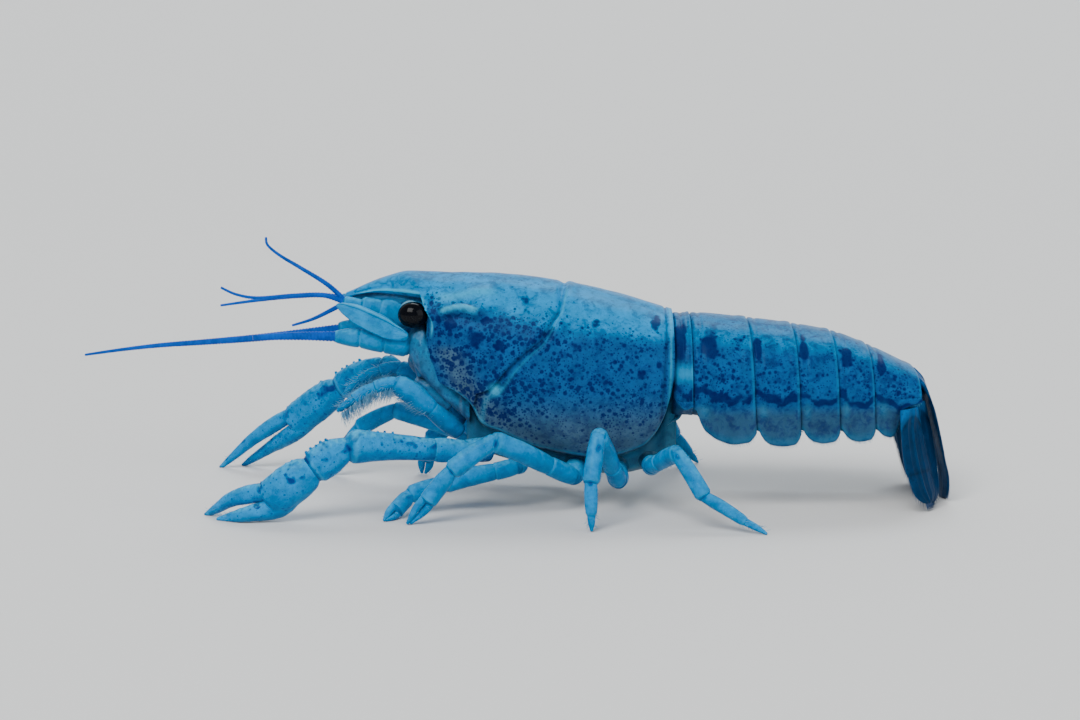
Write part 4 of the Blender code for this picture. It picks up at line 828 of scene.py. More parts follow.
OUTER_BLADE_WIDTH = ((0.0, 1.5), (0.2, 2.2), (0.62, 2.5), (0.68, 2.35), (0.88, 2.1), (1.0, 1.2))
TELSON_CAMBER = 0.45
BLADE_TILT = 0.88
BLADE_THICKNESS = 0.46
BLADE_ROOT_THICKNESS = 1.3
BLADE_SEAM = 0.66
FAR_BLADE_BACK = 1.2
FAN_HAIR = {"width": 0.04, "bend": 0.08}
FAN_HAIR_LENGTH = 0.75
LOWEST_FAN_HAIR_Z = 0.35
FAN_RIBS = ((0.0, 0.2, 0.07), (-0.55, 0.06, 0.06), (0.5, 0.06, 0.06), (-0.92, 0.05, 0.05),
            (0.9, 0.05, 0.05))
SIDES = ((-1, "l"), (1, "r"))
fan_finish = shell_finish("dark tail fan shell", back=(0.0, 0.12, 0.36), flank=(0.0, 0.03, 0.095),
                          under=(0.002, 0.02, 0.055), spot=(0.0, 0.003, 0.02), light=(0.001, 0.07, 0.2),
                          speckle=0.6, roughness=0.34, pits=0.4)
fan_hair = hair_finish("dark fan hairs", (0.002, 0.02, 0.08), (0.01, 0.06, 0.16))


def blade(line, widths, across, ribs, thickness=BLADE_THICKNESS, camber=0.0, rows=46, columns=41):
    """A thin ribbed blade: its rings, shares along and across, and its edge's hair roots and lies."""
    v = np.linspace(0.0, 1.0, rows)
    u = np.linspace(-1.0, 1.0, columns)
    line = np.asarray(line, float)
    centre = smooth_line(line, v)
    across = unit(across)
    normal = unit(np.cross(np.gradient(centre, axis=0), across))
    tip = np.sqrt(np.clip(1 - ((v - 0.9) / 0.1).clip(0, 1) ** 2, 0.0, 1.0)) * 0.55 + 0.45
    half = along(v, widths) * np.where(v > 0.9, tip, 1.0)
    body = thickness + (BLADE_ROOT_THICKNESS - thickness) * (1 - ease(v / 0.22))
    edge = np.sqrt(np.clip(1 - np.abs(u) ** 5, 0.002, 1.0))
    depth = 0.5 * body[:, None] * edge[None] * (1 - 0.3 * u[None] ** 2)
    for place, height, width in ribs:
        depth = depth + height * hump(u[None] - place, width) * (1 - 0.5 * v[:, None])
    depth = depth * np.where(v > 0.985, 0.6, 1.0)[:, None]
    bow = camber * u[None] ** 2 * ease(3 * v)[:, None]
    flat = centre[:, None] + across * (half[:, None] * u[None])[..., None]
    outer, inner = (flat + normal[:, None] * (face * depth + bow)[..., None] for face in (1, -1))
    ring = np.concatenate((outer, inner[:, ::-1]), axis=1)
    shares = np.repeat(v[:, None], ring.shape[1], axis=1)
    sides = np.repeat(np.concatenate((u, u[::-1]))[None], rows, axis=0)
    middle = (outer + inner) / 2
    fringed = middle[int(rows * 0.3):]
    ahead = unit(line[-1] - line[-2])
    roots = np.concatenate((fringed[:, 0], fringed[:, -1], middle[-1]))
    sideways = np.concatenate((np.repeat((-0.6, 0.6), len(fringed)), 0.3 * u))
    forward = np.concatenate((np.full(2 * len(fringed), 1.2), np.ones(columns)))
    return ring, shares, sides, roots, forward[:, None] * ahead + sideways[:, None] * across


def on_side(line, side):
    """The points of a right-hand line, or of its mirror image when side is -1."""
    return np.array(line, float) * (1.0, side, 1.0)


fan_blades = [("telson", TELSON_LINE, TELSON_WIDTH, ACROSS, TELSON_CAMBER, 1)]
for side, mark in SIDES:
    tilted = (-BLADE_TILT, side, 0.0)
    fan_blades.append(("fan_inner_" + mark, INNER_BLADE_LINE, INNER_BLADE_WIDTH, tilted, 0.0, side))
    fan_blades.append(("fan_outer_" + mark, OUTER_BLADE_LINE, OUTER_BLADE_WIDTH, tilted, 0.0, side))
for name, line, widths, across, camber, side in fan_blades:
    line = on_side(line, side)
    if name == "fan_outer_r":
        line[:, 0] += FAR_BLADE_BACK * (1 - ease((line[:, 2] - 6.0) / 7.0))
    ring, v, u, roots, lies = blade(line, widths, across, FAN_RIBS, camber=camber)
    # Painted highlights on the middle rib, along both edges and on a line across the root, with painted
    # shade between the ribs and just past that line; the outer blades also get a dark line along their
    # seam.
    arch = 0.03 + 0.14 * u ** 2
    dark = 0.2 * hump(np.abs(u) - 0.25, 0.12) + 0.6 * hump(v - arch - 0.06, 0.025)
    if name.startswith("fan_outer"):
        dark += 0.7 * hump(v - BLADE_SEAM, 0.012)
    marks = {"back": 0.9 * ease((0.2 - v) / 0.2), "under": 0.4 * ease((v - 0.75) / 0.2), "speckle": 0.4,
             "blotch": 0.35 * hump(v - 0.45, 0.2), "dark": dark,
             "light": 0.16 * hump(u, 0.06) + 0.4 * hump(np.abs(u) - 0.97, 0.03)
             + 0.95 * hump(v - arch, 0.03)}
    fitted(shell_mesh(name + "_shell", [ring], marks, sharp=50), fan_finish, "tail_fan_blue", name)
    keep = roots[:, 2] > LOWEST_FAN_HAIR_Z
    roots, lies = roots[keep], lies[keep]
    reaches = np.minimum(FAN_HAIR_LENGTH, roots[:, 2] * 0.8)
    bristles(name + "_fringe", roots, lies, reaches, FAN_HAIR, fan_hair, "tail_fan_blue")


# Eyes: black glossy domes of many tiny facets, each set on a short pale stalk that
# comes out from under the beak and lies in the orbit.
EYE_CENTRE = (-15.2, 4.7, 23.45)
EYE_RADII = (1.84, 1.5, 1.58)
EYE_CUP_Y = 3.7
EYESTALK_WAIST_Y = 2.4
EYESTALK_LINE = ((-14.75, 1.0, 23.8), (-14.9, 2.2, 23.85), (-15.4, 3.6, 23.6))
EYESTALK_TABLE = ((0.0, 0.85, 0.85), (0.5, 0.95, 0.95), (0.75, 1.3, 1.15), (0.95, 1.62, 1.42),
                  (1.0, 1.6, 1.4))


def eye_finish():
    """Black cornea over a bump of fine cells, as smooth as glass."""
    material, tree, shader = new_finish("black eye")
    where = added(tree, "ShaderNodeTexCoord").outputs["Object"]
    cells = added(tree, "ShaderNodeTexVoronoi", {"Vector": where, "Scale": 6500}).outputs["Distance"]
    bump = added(tree, "ShaderNodeBump", {"Strength": 0.06, "Distance": 0.00003, "Height": cells})
    colour = colour_ramp(tree, cells, (0.0, (0.001, 0.001, 0.002)), (1.0, (0.003, 0.004, 0.007)))
    wired(tree, shader, {"Base Color": colour, "Normal": bump.outputs["Normal"], "Roughness": 0.1,
                         "Specular IOR Level": 0.12})
    return material


black_finish = eye_finish()
stalk_finish = shell_finish("pale eye stalk", back=(0.02, 0.2, 0.42), flank=(0.04, 0.22, 0.38),
                            under=(0.1, 0.26, 0.36), spot=(0.002, 0.015, 0.08), light=(0.3, 0.62, 0.75),
                            speckle=0.4, roughness=0.35)
for side, mark in SIDES:
    turn = np.linspace(0.04, math.pi - 0.04, 34)[:, None]
    around = np.linspace(0.0, 2 * math.pi, 48, endpoint=False)
    ball = np.stack((np.sin(turn) * np.cos(around), np.cos(turn) * np.ones(48),
                     np.sin(turn) * np.sin(around)), -1)
    ball = on_side(EYE_CENTRE, side) + ball * EYE_RADII
    fitted(shell_mesh("eye_ball_" + mark, [ball], sharp=80), black_finish, "eye_black", "eye_" + mark)
    loft = limb(on_side(EYESTALK_LINE, side), EYESTALK_TABLE, AHEAD, sides=40, rings=30, dome=0.35)
    stalk = shell_mesh("eye_stalk_" + mark, [loft])
    points, normals = points_and_normals(stalk)
    outward = side * points[:, 1]
    set_marks(stalk, {"back": 0.5, "under": ease(-normals[:, 2]), "speckle": 0.3,
                      "light": 0.7 * hump(outward - EYE_CUP_Y, 0.35),
                      "dark": 0.5 * hump(outward - EYESTALK_WAIST_Y, 0.3)})
    fitted(stalk, stalk_finish, "pale_under", "eyestalk_" + mark)


# Feelers: a pair of small two-branched ones over a pair of long ones, each a stiff
# base of three shell joints, set in the head, that carries threads of short horny
# rings. The near long thread is only a stub, as on the animal photographed.
SMALL_FEELER_BASE = ((-15.6, 1.35, 22.4), (-19.4, 1.45, 23.6), (-21.4, 1.45, 24.0), (-23.6, 1.4, 24.4))
SMALL_FEELER_FIRST = ((0.0, 0.9, 1.1), (0.35, 1.2, 1.75), (0.8, 1.15, 1.6), (1.0, 0.9, 1.2))
SMALL_JOINT_BACK = (0.25, 0.0, 0.0)
SMALL_FEELERS = {
    "l": (((-23.2, -1.4, 24.3), (-25.6, -1.5, 26.6), (-28.9, -2.0, 28.8), (-31.2, -2.5, 30.3),
           (-32.6, -3.0, 31.6), (-32.8, -3.2, 32.6)),
          ((-23.2, -1.4, 24.3), (-26.0, -2.0, 25.4), (-29.5, -2.7, 25.5), (-33.8, -4.0, 25.4),
           (-36.3, -4.6, 25.9), (-38.1, -5.0, 26.8))),
    "r": (((-23.2, 1.4, 24.3), (-26.2, 2.0, 24.8), (-30.0, 2.5, 24.6), (-34.6, 3.3, 24.0),
           (-39.4, 5.0, 23.1)),
          ((-23.2, 1.4, 24.3), (-25.6, 2.4, 22.9), (-28.0, 3.6, 21.6), (-30.6, 5.0, 20.6)))}
SMALL_THREAD = (0.34, 0.15, 0.36)
FEELER_BASE = ((-15.9, 3.9, 19.5), (-18.6, 3.9, 20.1), (-21.6, 3.7, 20.5), (-24.6, 3.4, 20.6))
FEELER_BASE_RADII = ((1.3, 1.4), (1.38, 1.2), (1.15, 0.8))
FEELER_LEFT = ((-24.2, -3.4, 20.6), (-28.0, -4.2, 20.8), (-31.2, -5.2, 20.9), (-34.3, -6.0, 20.9))
FEELER_RIGHT = ((-24.2, 3.3, 20.5), (-30.0, 4.7, 19.6), (-35.6, 6.2, 18.8), (-41.5, 8.2, 18.0),
                (-47.8, 10.3, 17.2), (-53.0, 12.3, 16.3), (-58.0, 14.2, 15.3))
LEFT_THREAD = (0.62, 0.34, 0.42)
RIGHT_THREAD = (0.6, 0.16, 0.42)
SCALE_LINE = ((-15.9, 5.4, 20.8), (-19.0, 5.1, 22.2), (-22.0, 4.5, 23.5), (-24.4, 3.9, 24.5))
SCALE_WIDTH = ((0.0, 0.3), (0.12, 0.95), (0.35, 1.45), (0.65, 1.4), (0.9, 0.8), (1.0, 0.3))
SCALE_RIBS = ((0.72, 0.16, 0.08), (0.2, 0.08, 0.07), (-0.5, 0.05, 0.08))
SCALE_THICKNESS = 0.42


def thread_tree():
    """Geometry Nodes that turn a line of points into a tapering thread of short rings."""
    tree, entry = started_tree("ringed thread", Root_Radius="Float", Tip_Radius="Float", Rings="Int")
    line = added(tree, "GeometryNodeMeshToCurve", {"Mesh": entry["Geometry"]})
    smooth = added(tree, "GeometryNodeCurveSplineType", {"Curve": line.outputs["Curve"]},
                   spline_type="CATMULL_ROM")
    dense = added(tree, "GeometryNodeSetSplineResolution",
                  {"Geometry": smooth.outputs["Curve"], "Resolution": 24})
    count = reckoned(tree, "MULTIPLY", entry["Rings"], 5)
    fine = added(tree, "GeometryNodeResampleCurve", {"Curve": dense.outputs["Geometry"], "Count": count})
    place = added(tree, "GeometryNodeSplineParameter").outputs["Factor"]
    taper = added(tree, "ShaderNodeMapRange",
                  {"Value": place, "To Min": entry["Root Radius"], "To Max": entry["Tip Radius"]})
    turns = reckoned(tree, "MULTIPLY", place, reckoned(tree, "MULTIPLY", entry["Rings"], 2 * math.pi))
    ringed = reckoned(tree, "MULTIPLY_ADD", reckoned(tree, "SINE", turns), 0.07, 1.0)
    outline = added(tree, "GeometryNodeCurvePrimitiveCircle", {"Resolution": 14, "Radius": 1.0})
    tube = added(tree, "GeometryNodeCurveToMesh",
                 {"Curve": fine.outputs["Curve"], "Profile Curve": outline.outputs["Curve"],
                  "Scale": reckoned(tree, "MULTIPLY", taper.outputs["Result"], ringed), "Fill Caps": True})
    return ended_tree(tree, entry, tube.outputs["Mesh"])


thread_nodes = thread_tree()
thread_finish = shell_finish("deep blue feeler rings", back=(0.0, 0.11, 0.6), flank=(0.0, 0.085, 0.48),
                             under=(0.002, 0.08, 0.4), spot=(0.001, 0.01, 0.1), light=(0.01, 0.2, 0.7),
                             speckle=0.3, roughness=0.36, pits=0.3)
base_finish = shell_finish("azure feeler base shell", back=(0.0, 0.25, 0.56), flank=(0.001, 0.2, 0.44),
                           under=(0.02, 0.2, 0.36), spot=(0.0, 0.012, 0.13), light=(0.05, 0.47, 0.78),
                           speckle=0.35, roughness=0.3, pits=0.35)


def thread(name, lines, sizes, *nodes):
    """Threads along lines of points; the sizes are the radii at root and tip and a ring's length."""
    root, tip, ring = sizes
    pieces = []
    for line in lines:
        piece = new_piece(name, placed(line).tolist(), [(k, k + 1) for k in range(len(line) - 1)])
        rings = int(lengths_along(line)[-1] / ring)
        grown(piece, thread_nodes, root_radius=root * MM, tip_radius=tip * MM, rings=rings,
              finish=thread_finish)
        pieces.append(piece)
    piece = pieces[0]
    if len(pieces) > 1:
        with bpy.context.temp_override(object=piece, active_object=piece, selected_editable_objects=pieces):
            bpy.ops.object.join()
    piece.name = name
    piece.data.name = name
    fitted(piece, thread_finish, "feeler_blue", *nodes)


def podomere(start, end, table, axis, bow=0.0, sides=28, rings=30):
    """One stiff piece of a limb between two joints, bowed a little upwards."""
    start, end = np.asarray(start, float), np.asarray(end, float)
    middle = 0.5 * (start + end) + np.array((0.0, 0.0, bow))
    return limb((start, middle, end), table, axis, sides, rings)


def roughened(piece, height):
    """Raise low lumps over a piece."""
    points, normals = points_and_normals(piece)
    moved = points + normals * (height * np.maximum(lumps_at(points, 1.2), 0.0))[:, None]
    moved[:, 2] = np.maximum(moved[:, 2], 0.0)
    piece.data.vertices.foreach_set("co", placed(moved).ravel())
    piece.data.update()


def jointed(name, lofts, finish, slot, nodes, spots=(), speckle=0.2, pale=0.5, rough=0.0, mottle=0.2):
    """Podomeres gathered into one piece, with darker sockets, a painted highlight near each far rim and low
    lumps.
    """
    piece = shell_mesh(name, lofts)
    if rough:
        roughened(piece, rough)
    marks = limb_marks(*points_and_normals(piece), spots, speckle, pale, mottle)
    places = [np.repeat(np.linspace(-0.08, 1.08, loft.shape[0]), loft.shape[1]) for loft in lofts]
    place = np.concatenate(places)
    # A painted highlight just inside each far rim.
    marks["light"] += 0.25 * hump(place - 0.93, 0.03)
    marks["blotch"] += 0.7 * mottle * (hump(place - 0.99, 0.08) + hump(place, 0.07))
    marks["dark"] = 0.6 * hump(place - 1.0, 0.03) + 0.45 * hump(place + 0.02, 0.05)
    set_marks(piece, marks)
    fitted(piece, finish, slot, *nodes)


def knuckled(wide, tall, waist=0.86):
    """Sizes of a podomere: a narrow socket, a swelling and a flared rim at the far end."""
    return ((0.0, wide * waist, tall * waist), (0.12, wide * 0.93, tall * 0.93), (0.5, wide, tall),
            (0.86, wide * 0.99, tall * 0.99), (0.95, wide, tall), (1.0, wide * 0.9, tall * 0.9))


def tapered(first, last):
    """Sizes of a podomere that runs evenly from one radius to another, rounded at both ends."""
    return ((0.0, first * 0.86, first * 0.88), (0.1, first, first * 1.03), (0.9, last, last * 1.03),
            (1.0, last * 0.86, last * 0.88))


for side, mark in SIDES:
    base = on_side(SMALL_FEELER_BASE, side)
    lofts = [podomere(base[0], base[1], SMALL_FEELER_FIRST, ACROSS, sides=32, rings=36),
             podomere(base[1] + SMALL_JOINT_BACK, base[2], knuckled(0.98, 1.2), ACROSS),
             podomere(base[2], base[3], knuckled(0.76, 0.85), ACROSS)]
    jointed("small_feeler_base_" + mark, lofts, base_finish, "feeler_blue", [])
    thread("small_feeler_threads_" + mark, SMALL_FEELERS[mark], SMALL_THREAD, "small_feeler_" + mark)
    base = on_side(FEELER_BASE, side)
    lofts = [podomere(start, end, tapered(*radii), ACROSS)
             for start, end, radii in zip(base, base[1:], FEELER_BASE_RADII)]
    jointed("long_feeler_base_" + mark, lofts, base_finish, "claw_blue", ["feeler_base_" + mark])
    ring, v, u, _, _ = blade(on_side(SCALE_LINE, side), SCALE_WIDTH, (0.12, -0.62 * side, 0.77),
                             SCALE_RIBS, SCALE_THICKNESS)
    # A painted highlight along the rib and the outer edge, with painted shade beside the rib.
    marks = {"back": 0.8, "under": 0.4 * ease((v - 0.7) / 0.3), "speckle": 0.2,
             "light": 0.9 * hump(u - 0.72, 0.09) + 0.5 * hump(u - 0.97, 0.05),
             "dark": 0.6 * hump(u - 0.5, 0.08)}
    plate = shell_mesh("feeler_scale_shell_" + mark, [ring], marks, sharp=50)
    fitted(plate, base_finish, "claw_blue", "feeler_scale_" + mark)
thread("long_feeler_l", [FEELER_LEFT], LEFT_THREAD, "feeler_l")
thread("long_feeler_r", [FEELER_RIGHT], RIGHT_THREAD, "feeler_r_1", "feeler_r_2")


# Mouth parts: a pale soft mass of jaws and plates packed under the cheeks, and the
# narrow core of the head above them that carries the eyestalks and the beak.
MOUTH_TOP = ((-15.9, 20.4), (-15.2, 21.5), (-14.15, 22.0), (-13.3, 20.6), (-12.0, 17.5), (-8.5, 14.0))
MOUTH_BOTTOM = ((-15.9, 18.5), (-15.2, 17.1), (-14.0, 15.4), (-12.0, 13.3), (-9.3, 10.7), (-8.5, 9.9))
MOUTH_HALF_WIDTH = ((-15.9, 4.6), (-15.2, 5.6), (-14.15, 6.45), (-12.9, 6.5), (-12.0, 6.2), (-9.3, 5.3))
MOUTH_FRONT_X = -15.8
MOUTH_SPANS = ((-16.15, -15.9, 6), (MOUTH_FRONT_X, -8.5, 62))
MOUTH_ROUNDING = 0.36
MOUTH_CORNER = 3.2
HEAD_CORE_LINE = ((-22.6, 0.0, 24.8), (-17.6, 0.0, 24.7), (-15.0, 0.0, 24.2), (-12.0, 0.0, 23.4))
HEAD_CORE_TABLE = ((0.0, 0.35, 0.45), (0.3, 1.2, 0.9), (0.45, 1.7, 1.2), (0.7, 2.6, 1.9), (1.0, 4.6, 3.0))
JAWS = ((((-14.6, 1.6, 15.9), (-14.9, 1.9, 17.2), (-14.4, 3.4, 18.6)),
         ((0.0, 0.5, 0.6), (0.5, 1.15, 1.0), (1.0, 0.8, 0.9)), AHEAD),
        (((-11.0, 3.6, 12.3), (-13.1, 4.0, 14.0), (-14.8, 3.4, 15.3)),
         ((0.0, 0.8, 0.9), (0.5, 0.85, 0.9), (1.0, 0.5, 0.55)), ACROSS),
        (((-14.4, 4.1, 16.0), (-14.6, 4.6, 18.0), (-14.2, 4.7, 20.2)),
         ((0.0, 0.5, 0.5), (0.5, 0.62, 0.62), (1.0, 0.4, 0.5)), AHEAD))
mouth_finish = shell_finish("pale mouth skin", back=(0.012, 0.17, 0.36), flank=(0.025, 0.12, 0.25),
                            under=(0.06, 0.14, 0.23), spot=(0.008, 0.03, 0.12), light=(0.26, 0.42, 0.55),
                            speckle=0.5, roughness=0.45, pits=0.5, coat=0.1)


def oval_block(x, half, low, high, corner, sides=64):
    """A ring across the body, between an oval and a box."""
    turn = np.linspace(0.0, 2 * math.pi, sides, endpoint=False)
    across, tall = (np.sign(wave) * np.abs(wave) ** (2.0 / corner) for wave in (np.cos(turn), np.sin(turn)))
    return np.stack((np.full(sides, x), half * across, 0.5 * (low + high) + 0.5 * (high - low) * tall), -1)


mouth_rings = []
for x in np.concatenate([np.linspace(*span) for span in MOUTH_SPANS]):
    tuck = math.sqrt(max(0.0, 1 - (max(MOUTH_FRONT_X - x, 0.0) / MOUTH_ROUNDING) ** 2))
    half, low, high = (float(along(x, table)) for table in (MOUTH_HALF_WIDTH, MOUTH_BOTTOM, MOUTH_TOP))
    half = half * (0.8 + 0.2 * tuck)
    middle = 0.5 * (low + high)
    low, high = middle + (low - middle) * tuck, middle + (high - middle) * tuck
    mouth_rings.append(oval_block(x, half, low, high, MOUTH_CORNER))
mouth_rings = np.array(mouth_rings)
mouth_rings[..., 1] *= 1 + 0.05 * lumps_at(mouth_rings * (1.3, 0.9, 0.6), 1.0)
mouth_lofts = [mouth_rings, limb(HEAD_CORE_LINE, HEAD_CORE_TABLE, ACROSS, sides=40, rings=30)]
for side, _ in SIDES:
    mouth_lofts += [limb(on_side(line, side), table, axis) for line, table, axis in JAWS]
jointed("mouth_parts", mouth_lofts, mouth_finish, "pale_under", ["mouth"], speckle=0.6, pale=0.7,
        rough=0.12)


# Underside: the pale breast plate that closes the chest from below, with a stout
# socket on each side for every leg. It is thin shell, held to the shield by skin.
ROOT_Z = ((-8.9, 7.6), (-6.5, 7.0), (-2.2, 5.8), (4.3, 4.8), (9.3, 4.5), (13.4, 5.2), (15.2, 6.4))
LEG_ROOT_X = (-6.5, -2.2, 4.3, 9.3, 13.4)
SOCKET_TABLE = ((0.0, 0.9, 0.75), (0.6, 1.45, 1.25), (1.0, 1.5, 1.35))
SOCKET_Y = (1.4, 4.3)
SOCKET_RISE = (-0.25, 0.35)
BREAST_SPAN = (-8.85, 16.5, 64)
BREAST_NARROWING = (-9.9, 17.4, 2.4)
BREAST_END_HALF_WIDTH = 3.3
BREAST_SWELLING = 1.1
BREAST_DEPTH = 0.85
SHIELD_GAP = 0.15
BREAST_CORNER = 4.0

belly_rings = []
for x in np.linspace(*BREAST_SPAN):
    low = float(along(x, ROOT_Z)) - BREAST_DEPTH
    high = float(along(x, SHIELD_EDGE_Z)) - SHIELD_GAP
    half = BREAST_END_HALF_WIDTH + BREAST_SWELLING * between(x, *BREAST_NARROWING)
    belly_rings.append(oval_block(x, half, low, high, BREAST_CORNER))
belly_lofts = [np.array(belly_rings)]
for x in LEG_ROOT_X:
    root = float(along(x, ROOT_Z))
    socket = [(x, y, root + rise) for y, rise in zip(SOCKET_Y, SOCKET_RISE)]
    belly_lofts += [limb(on_side(socket, side), SOCKET_TABLE, AHEAD) for side, _ in SIDES]
jointed("underside_plates", belly_lofts, soft_finish, "pale_under", ["underside"], speckle=0.5, pale=0.8,
        rough=0.1)


# Mouth legs: the third pair, the size of small legs. They are the legs' azure shell,
# hinged beside the mouth, and arch up and forward to hang down ahead of it.
MOUTH_LEG = ((-9.9, 2.7, 8.8), (-13.2, 4.3, 12.0), (-17.3, 5.2, 15.3), (-20.8, 5.9, 14.6),
             (-24.3, 6.3, 12.0))
MOUTH_SHIN_PLACE = 0.7
MOUTH_FOOT_PLACE = 0.42
MOUTH_HIP_TABLE = ((0.0, 0.9, 1.0), (0.4, 1.05, 1.25), (1.0, 0.9, 1.1))
MOUTH_THIGH_TABLE = ((0.0, 0.95, 1.15), (0.4, 1.05, 1.4), (0.85, 1.0, 1.3), (1.0, 0.8, 0.95))
MOUTH_TOE_TABLE = ((0.0, 0.42, 0.5), (0.3, 0.46, 0.52), (0.8, 0.34, 0.38), (1.0, 0.16, 0.18))
leg_finish = shell_finish("azure leg shell", back=(0.0, 0.25, 0.58), flank=(0.001, 0.19, 0.44),
                          under=(0.03, 0.2, 0.36), spot=(0.0, 0.012, 0.16), light=(0.05, 0.45, 0.75),
                          speckle=0.3, roughness=0.28, pits=0.35, soft=0.34)
for side, mark in SIDES:
    root, hip, knee, ankle, toe = on_side(MOUTH_LEG, side)
    shin = knee + MOUTH_SHIN_PLACE * (ankle - knee)
    foot = ankle + MOUTH_FOOT_PLACE * (toe - ankle)
    lofts = [podomere(root, hip, MOUTH_HIP_TABLE, ACROSS),
             podomere(hip, knee, MOUTH_THIGH_TABLE, ACROSS, bow=0.12)]
    jointed("mouth_leg_thigh_" + mark, lofts, leg_finish, "leg_blue", ["mouth_leg_upper_" + mark])
    lofts = [podomere(knee, shin, knuckled(0.66, 0.82), ACROSS, bow=0.1),
             podomere(shin, foot, knuckled(0.58, 0.72), ACROSS, bow=0.15),
             podomere(foot, toe, MOUTH_TOE_TABLE, ACROSS)]
    jointed("mouth_leg_shin_" + mark, lofts, leg_finish, "leg_blue", ["mouth_leg_lower_" + mark])


# Claws: the first pair of legs, each with an arm, a wrist, a palm drawn out into a
# fixed finger and a moving finger hinged beside it. The shell is thick, smooth and
# finely pitted, with rows of small knobs along the upper edges.
CLAWS = {
    "l": {"arm": ((-6.5, -4.8, 7.0), (-9.0, -6.6, 7.2), (-22.6, -12.0, 8.9)), "wrist": (-26.7, -12.9, 6.4),
          "palm": (-31.7, -13.0, 2.7), "finger": ((-36.4, -11.8, 2.5), (-39.9, -9.4, 0.0)),
          "thumb": ((-34.9, -13.3, 0.95), (-38.2, -12.0, 0.0)), "size": 1.0,
          "spots": ((-27.2, 8.0, 0.6), (-25.2, 7.7, 0.55), (-29.0, 5.4, 0.5), (-27.8, 5.7, 0.45),
                    (-22.7, 8.9, 0.5), (-32.9, 4.2, 0.6), (-33.4, 2.3, 0.45))},
    "r": {"arm": ((-6.5, 4.8, 7.0), (-9.3, 6.8, 8.2), (-19.9, 10.2, 14.7)), "wrist": (-25.4, 12.4, 11.4),
          "palm": (-31.6, 14.1, 6.5), "finger": ((-36.9, 15.6, 4.1), (-41.4, 17.0, 0.0)),
          "thumb": ((-35.0, 16.4, 2.7), (-38.7, 18.1, 0.0)), "size": 0.88,
          "spots": ((-24.6, 12.8, 0.5), (-26.6, 11.4, 0.5), (-28.0, 10.6, 0.4), (-32.4, 7.6, 0.5))}}
CLAW_HIP_TABLE = ((0.0, 1.5, 1.5), (0.6, 1.45, 1.45), (1.0, 1.3, 1.3))
CLAW_RING_TABLE = ((0.0, 1.25, 1.3), (0.8, 1.35, 1.5), (1.0, 1.2, 1.3))
ARM_TABLE = ((0.0, 1.2, 1.35), (0.3, 1.3, 1.5), (0.7, 1.45, 1.8), (0.92, 1.5, 2.05), (1.0, 1.2, 1.6))
WRIST_TABLE = ((0.0, 1.05, 1.3), (0.25, 1.4, 1.8), (0.6, 1.6, 2.15), (0.88, 1.55, 2.1), (1.0, 1.3, 1.75))
PALM_TABLE = ((0.0, 1.25, 1.6), (0.15, 1.6, 2.2), (0.5, 1.8, 2.5), (0.85, 1.65, 2.45), (1.0, 1.4, 2.2))
THUMB_TABLE = ((0.0, 1.2, 1.5), (0.35, 1.1, 1.3), (0.6, 0.85, 0.95), (0.85, 0.55, 0.6), (1.0, 0.3, 0.32))
FINGER_TABLE = ((0.0, 0.95, 1.05), (0.2, 1.0, 1.15), (0.5, 0.82, 0.92), (0.8, 0.55, 0.6), (1.0, 0.26, 0.3))
CLAW_RING_PLACE = 0.28
THUMB_ROOT_BACK = 2.6
THUMB_ROOT_DROP = 0.9
THUMB_DROP = 1.2
FINGER_ROOT_BACK = 0.25
FINGER_ROOT_RISE = 1.15
KNOB_AXIS = (1.0, 0.3, 0.2)
SKIN_CELL = 0.12
SKIN_SMOOTHINGS = 6
claw_finish = shell_finish("azure claw shell", back=(0.0, 0.27, 0.62), flank=(0.001, 0.18, 0.45),
                           under=(0.035, 0.19, 0.33), spot=(0.0, 0.01, 0.16), light=(0.07, 0.56, 0.85),
                           speckle=0.6, speckle_size=0.8, roughness=0.28, pits=0.5, soft=0.32)


def scaled(table, size):
    """A table of sizes, made larger or smaller."""
    return [(place, wide * size, tall * size) for place, wide, tall in table]


def upward(axis, heading):
    """The direction square to a limb and to its sideways axis that points up."""
    up = unit(np.cross(axis, heading))
    return up if up[2] > 0 else -up


def knobs(start, end, axis, wide, tall, count, radius):
    """A row of small round knobs along the upper edge between two points."""
    up = upward(axis, end - start)
    table = ((0.0, radius, radius), (1.0, radius * 0.75, radius * 0.75))
    lofts = []
    for k in range(count):
        place = (k + 0.5) / count
        middle = start + place * (end - start) + up * tall * (0.93 + 0.04 * math.sin(math.pi * place))
        middle = middle + unit(axis) * wide * 0.18 * math.sin(2.4 * k)
        ends = (middle - up * 0.1, middle + up * radius * 0.6)
        lofts.append(limb(ends, table, KNOB_AXIS, sides=10, rings=4, dome=0.8))
    return lofts


def melted(name, lofts):
    """Lofts run together into one skin with soft creases where they meet."""
    piece = shell_mesh(name, lofts)
    remesh = piece.modifiers.new("melt", "REMESH")
    remesh.mode = "VOXEL"
    remesh.voxel_size = SKIN_CELL * MM
    remesh.use_smooth_shade = True
    smooth = piece.modifiers.new("soften", "SMOOTH")
    smooth.factor = 0.5
    smooth.iterations = SKIN_SMOOTHINGS
    settled(piece)
    return piece


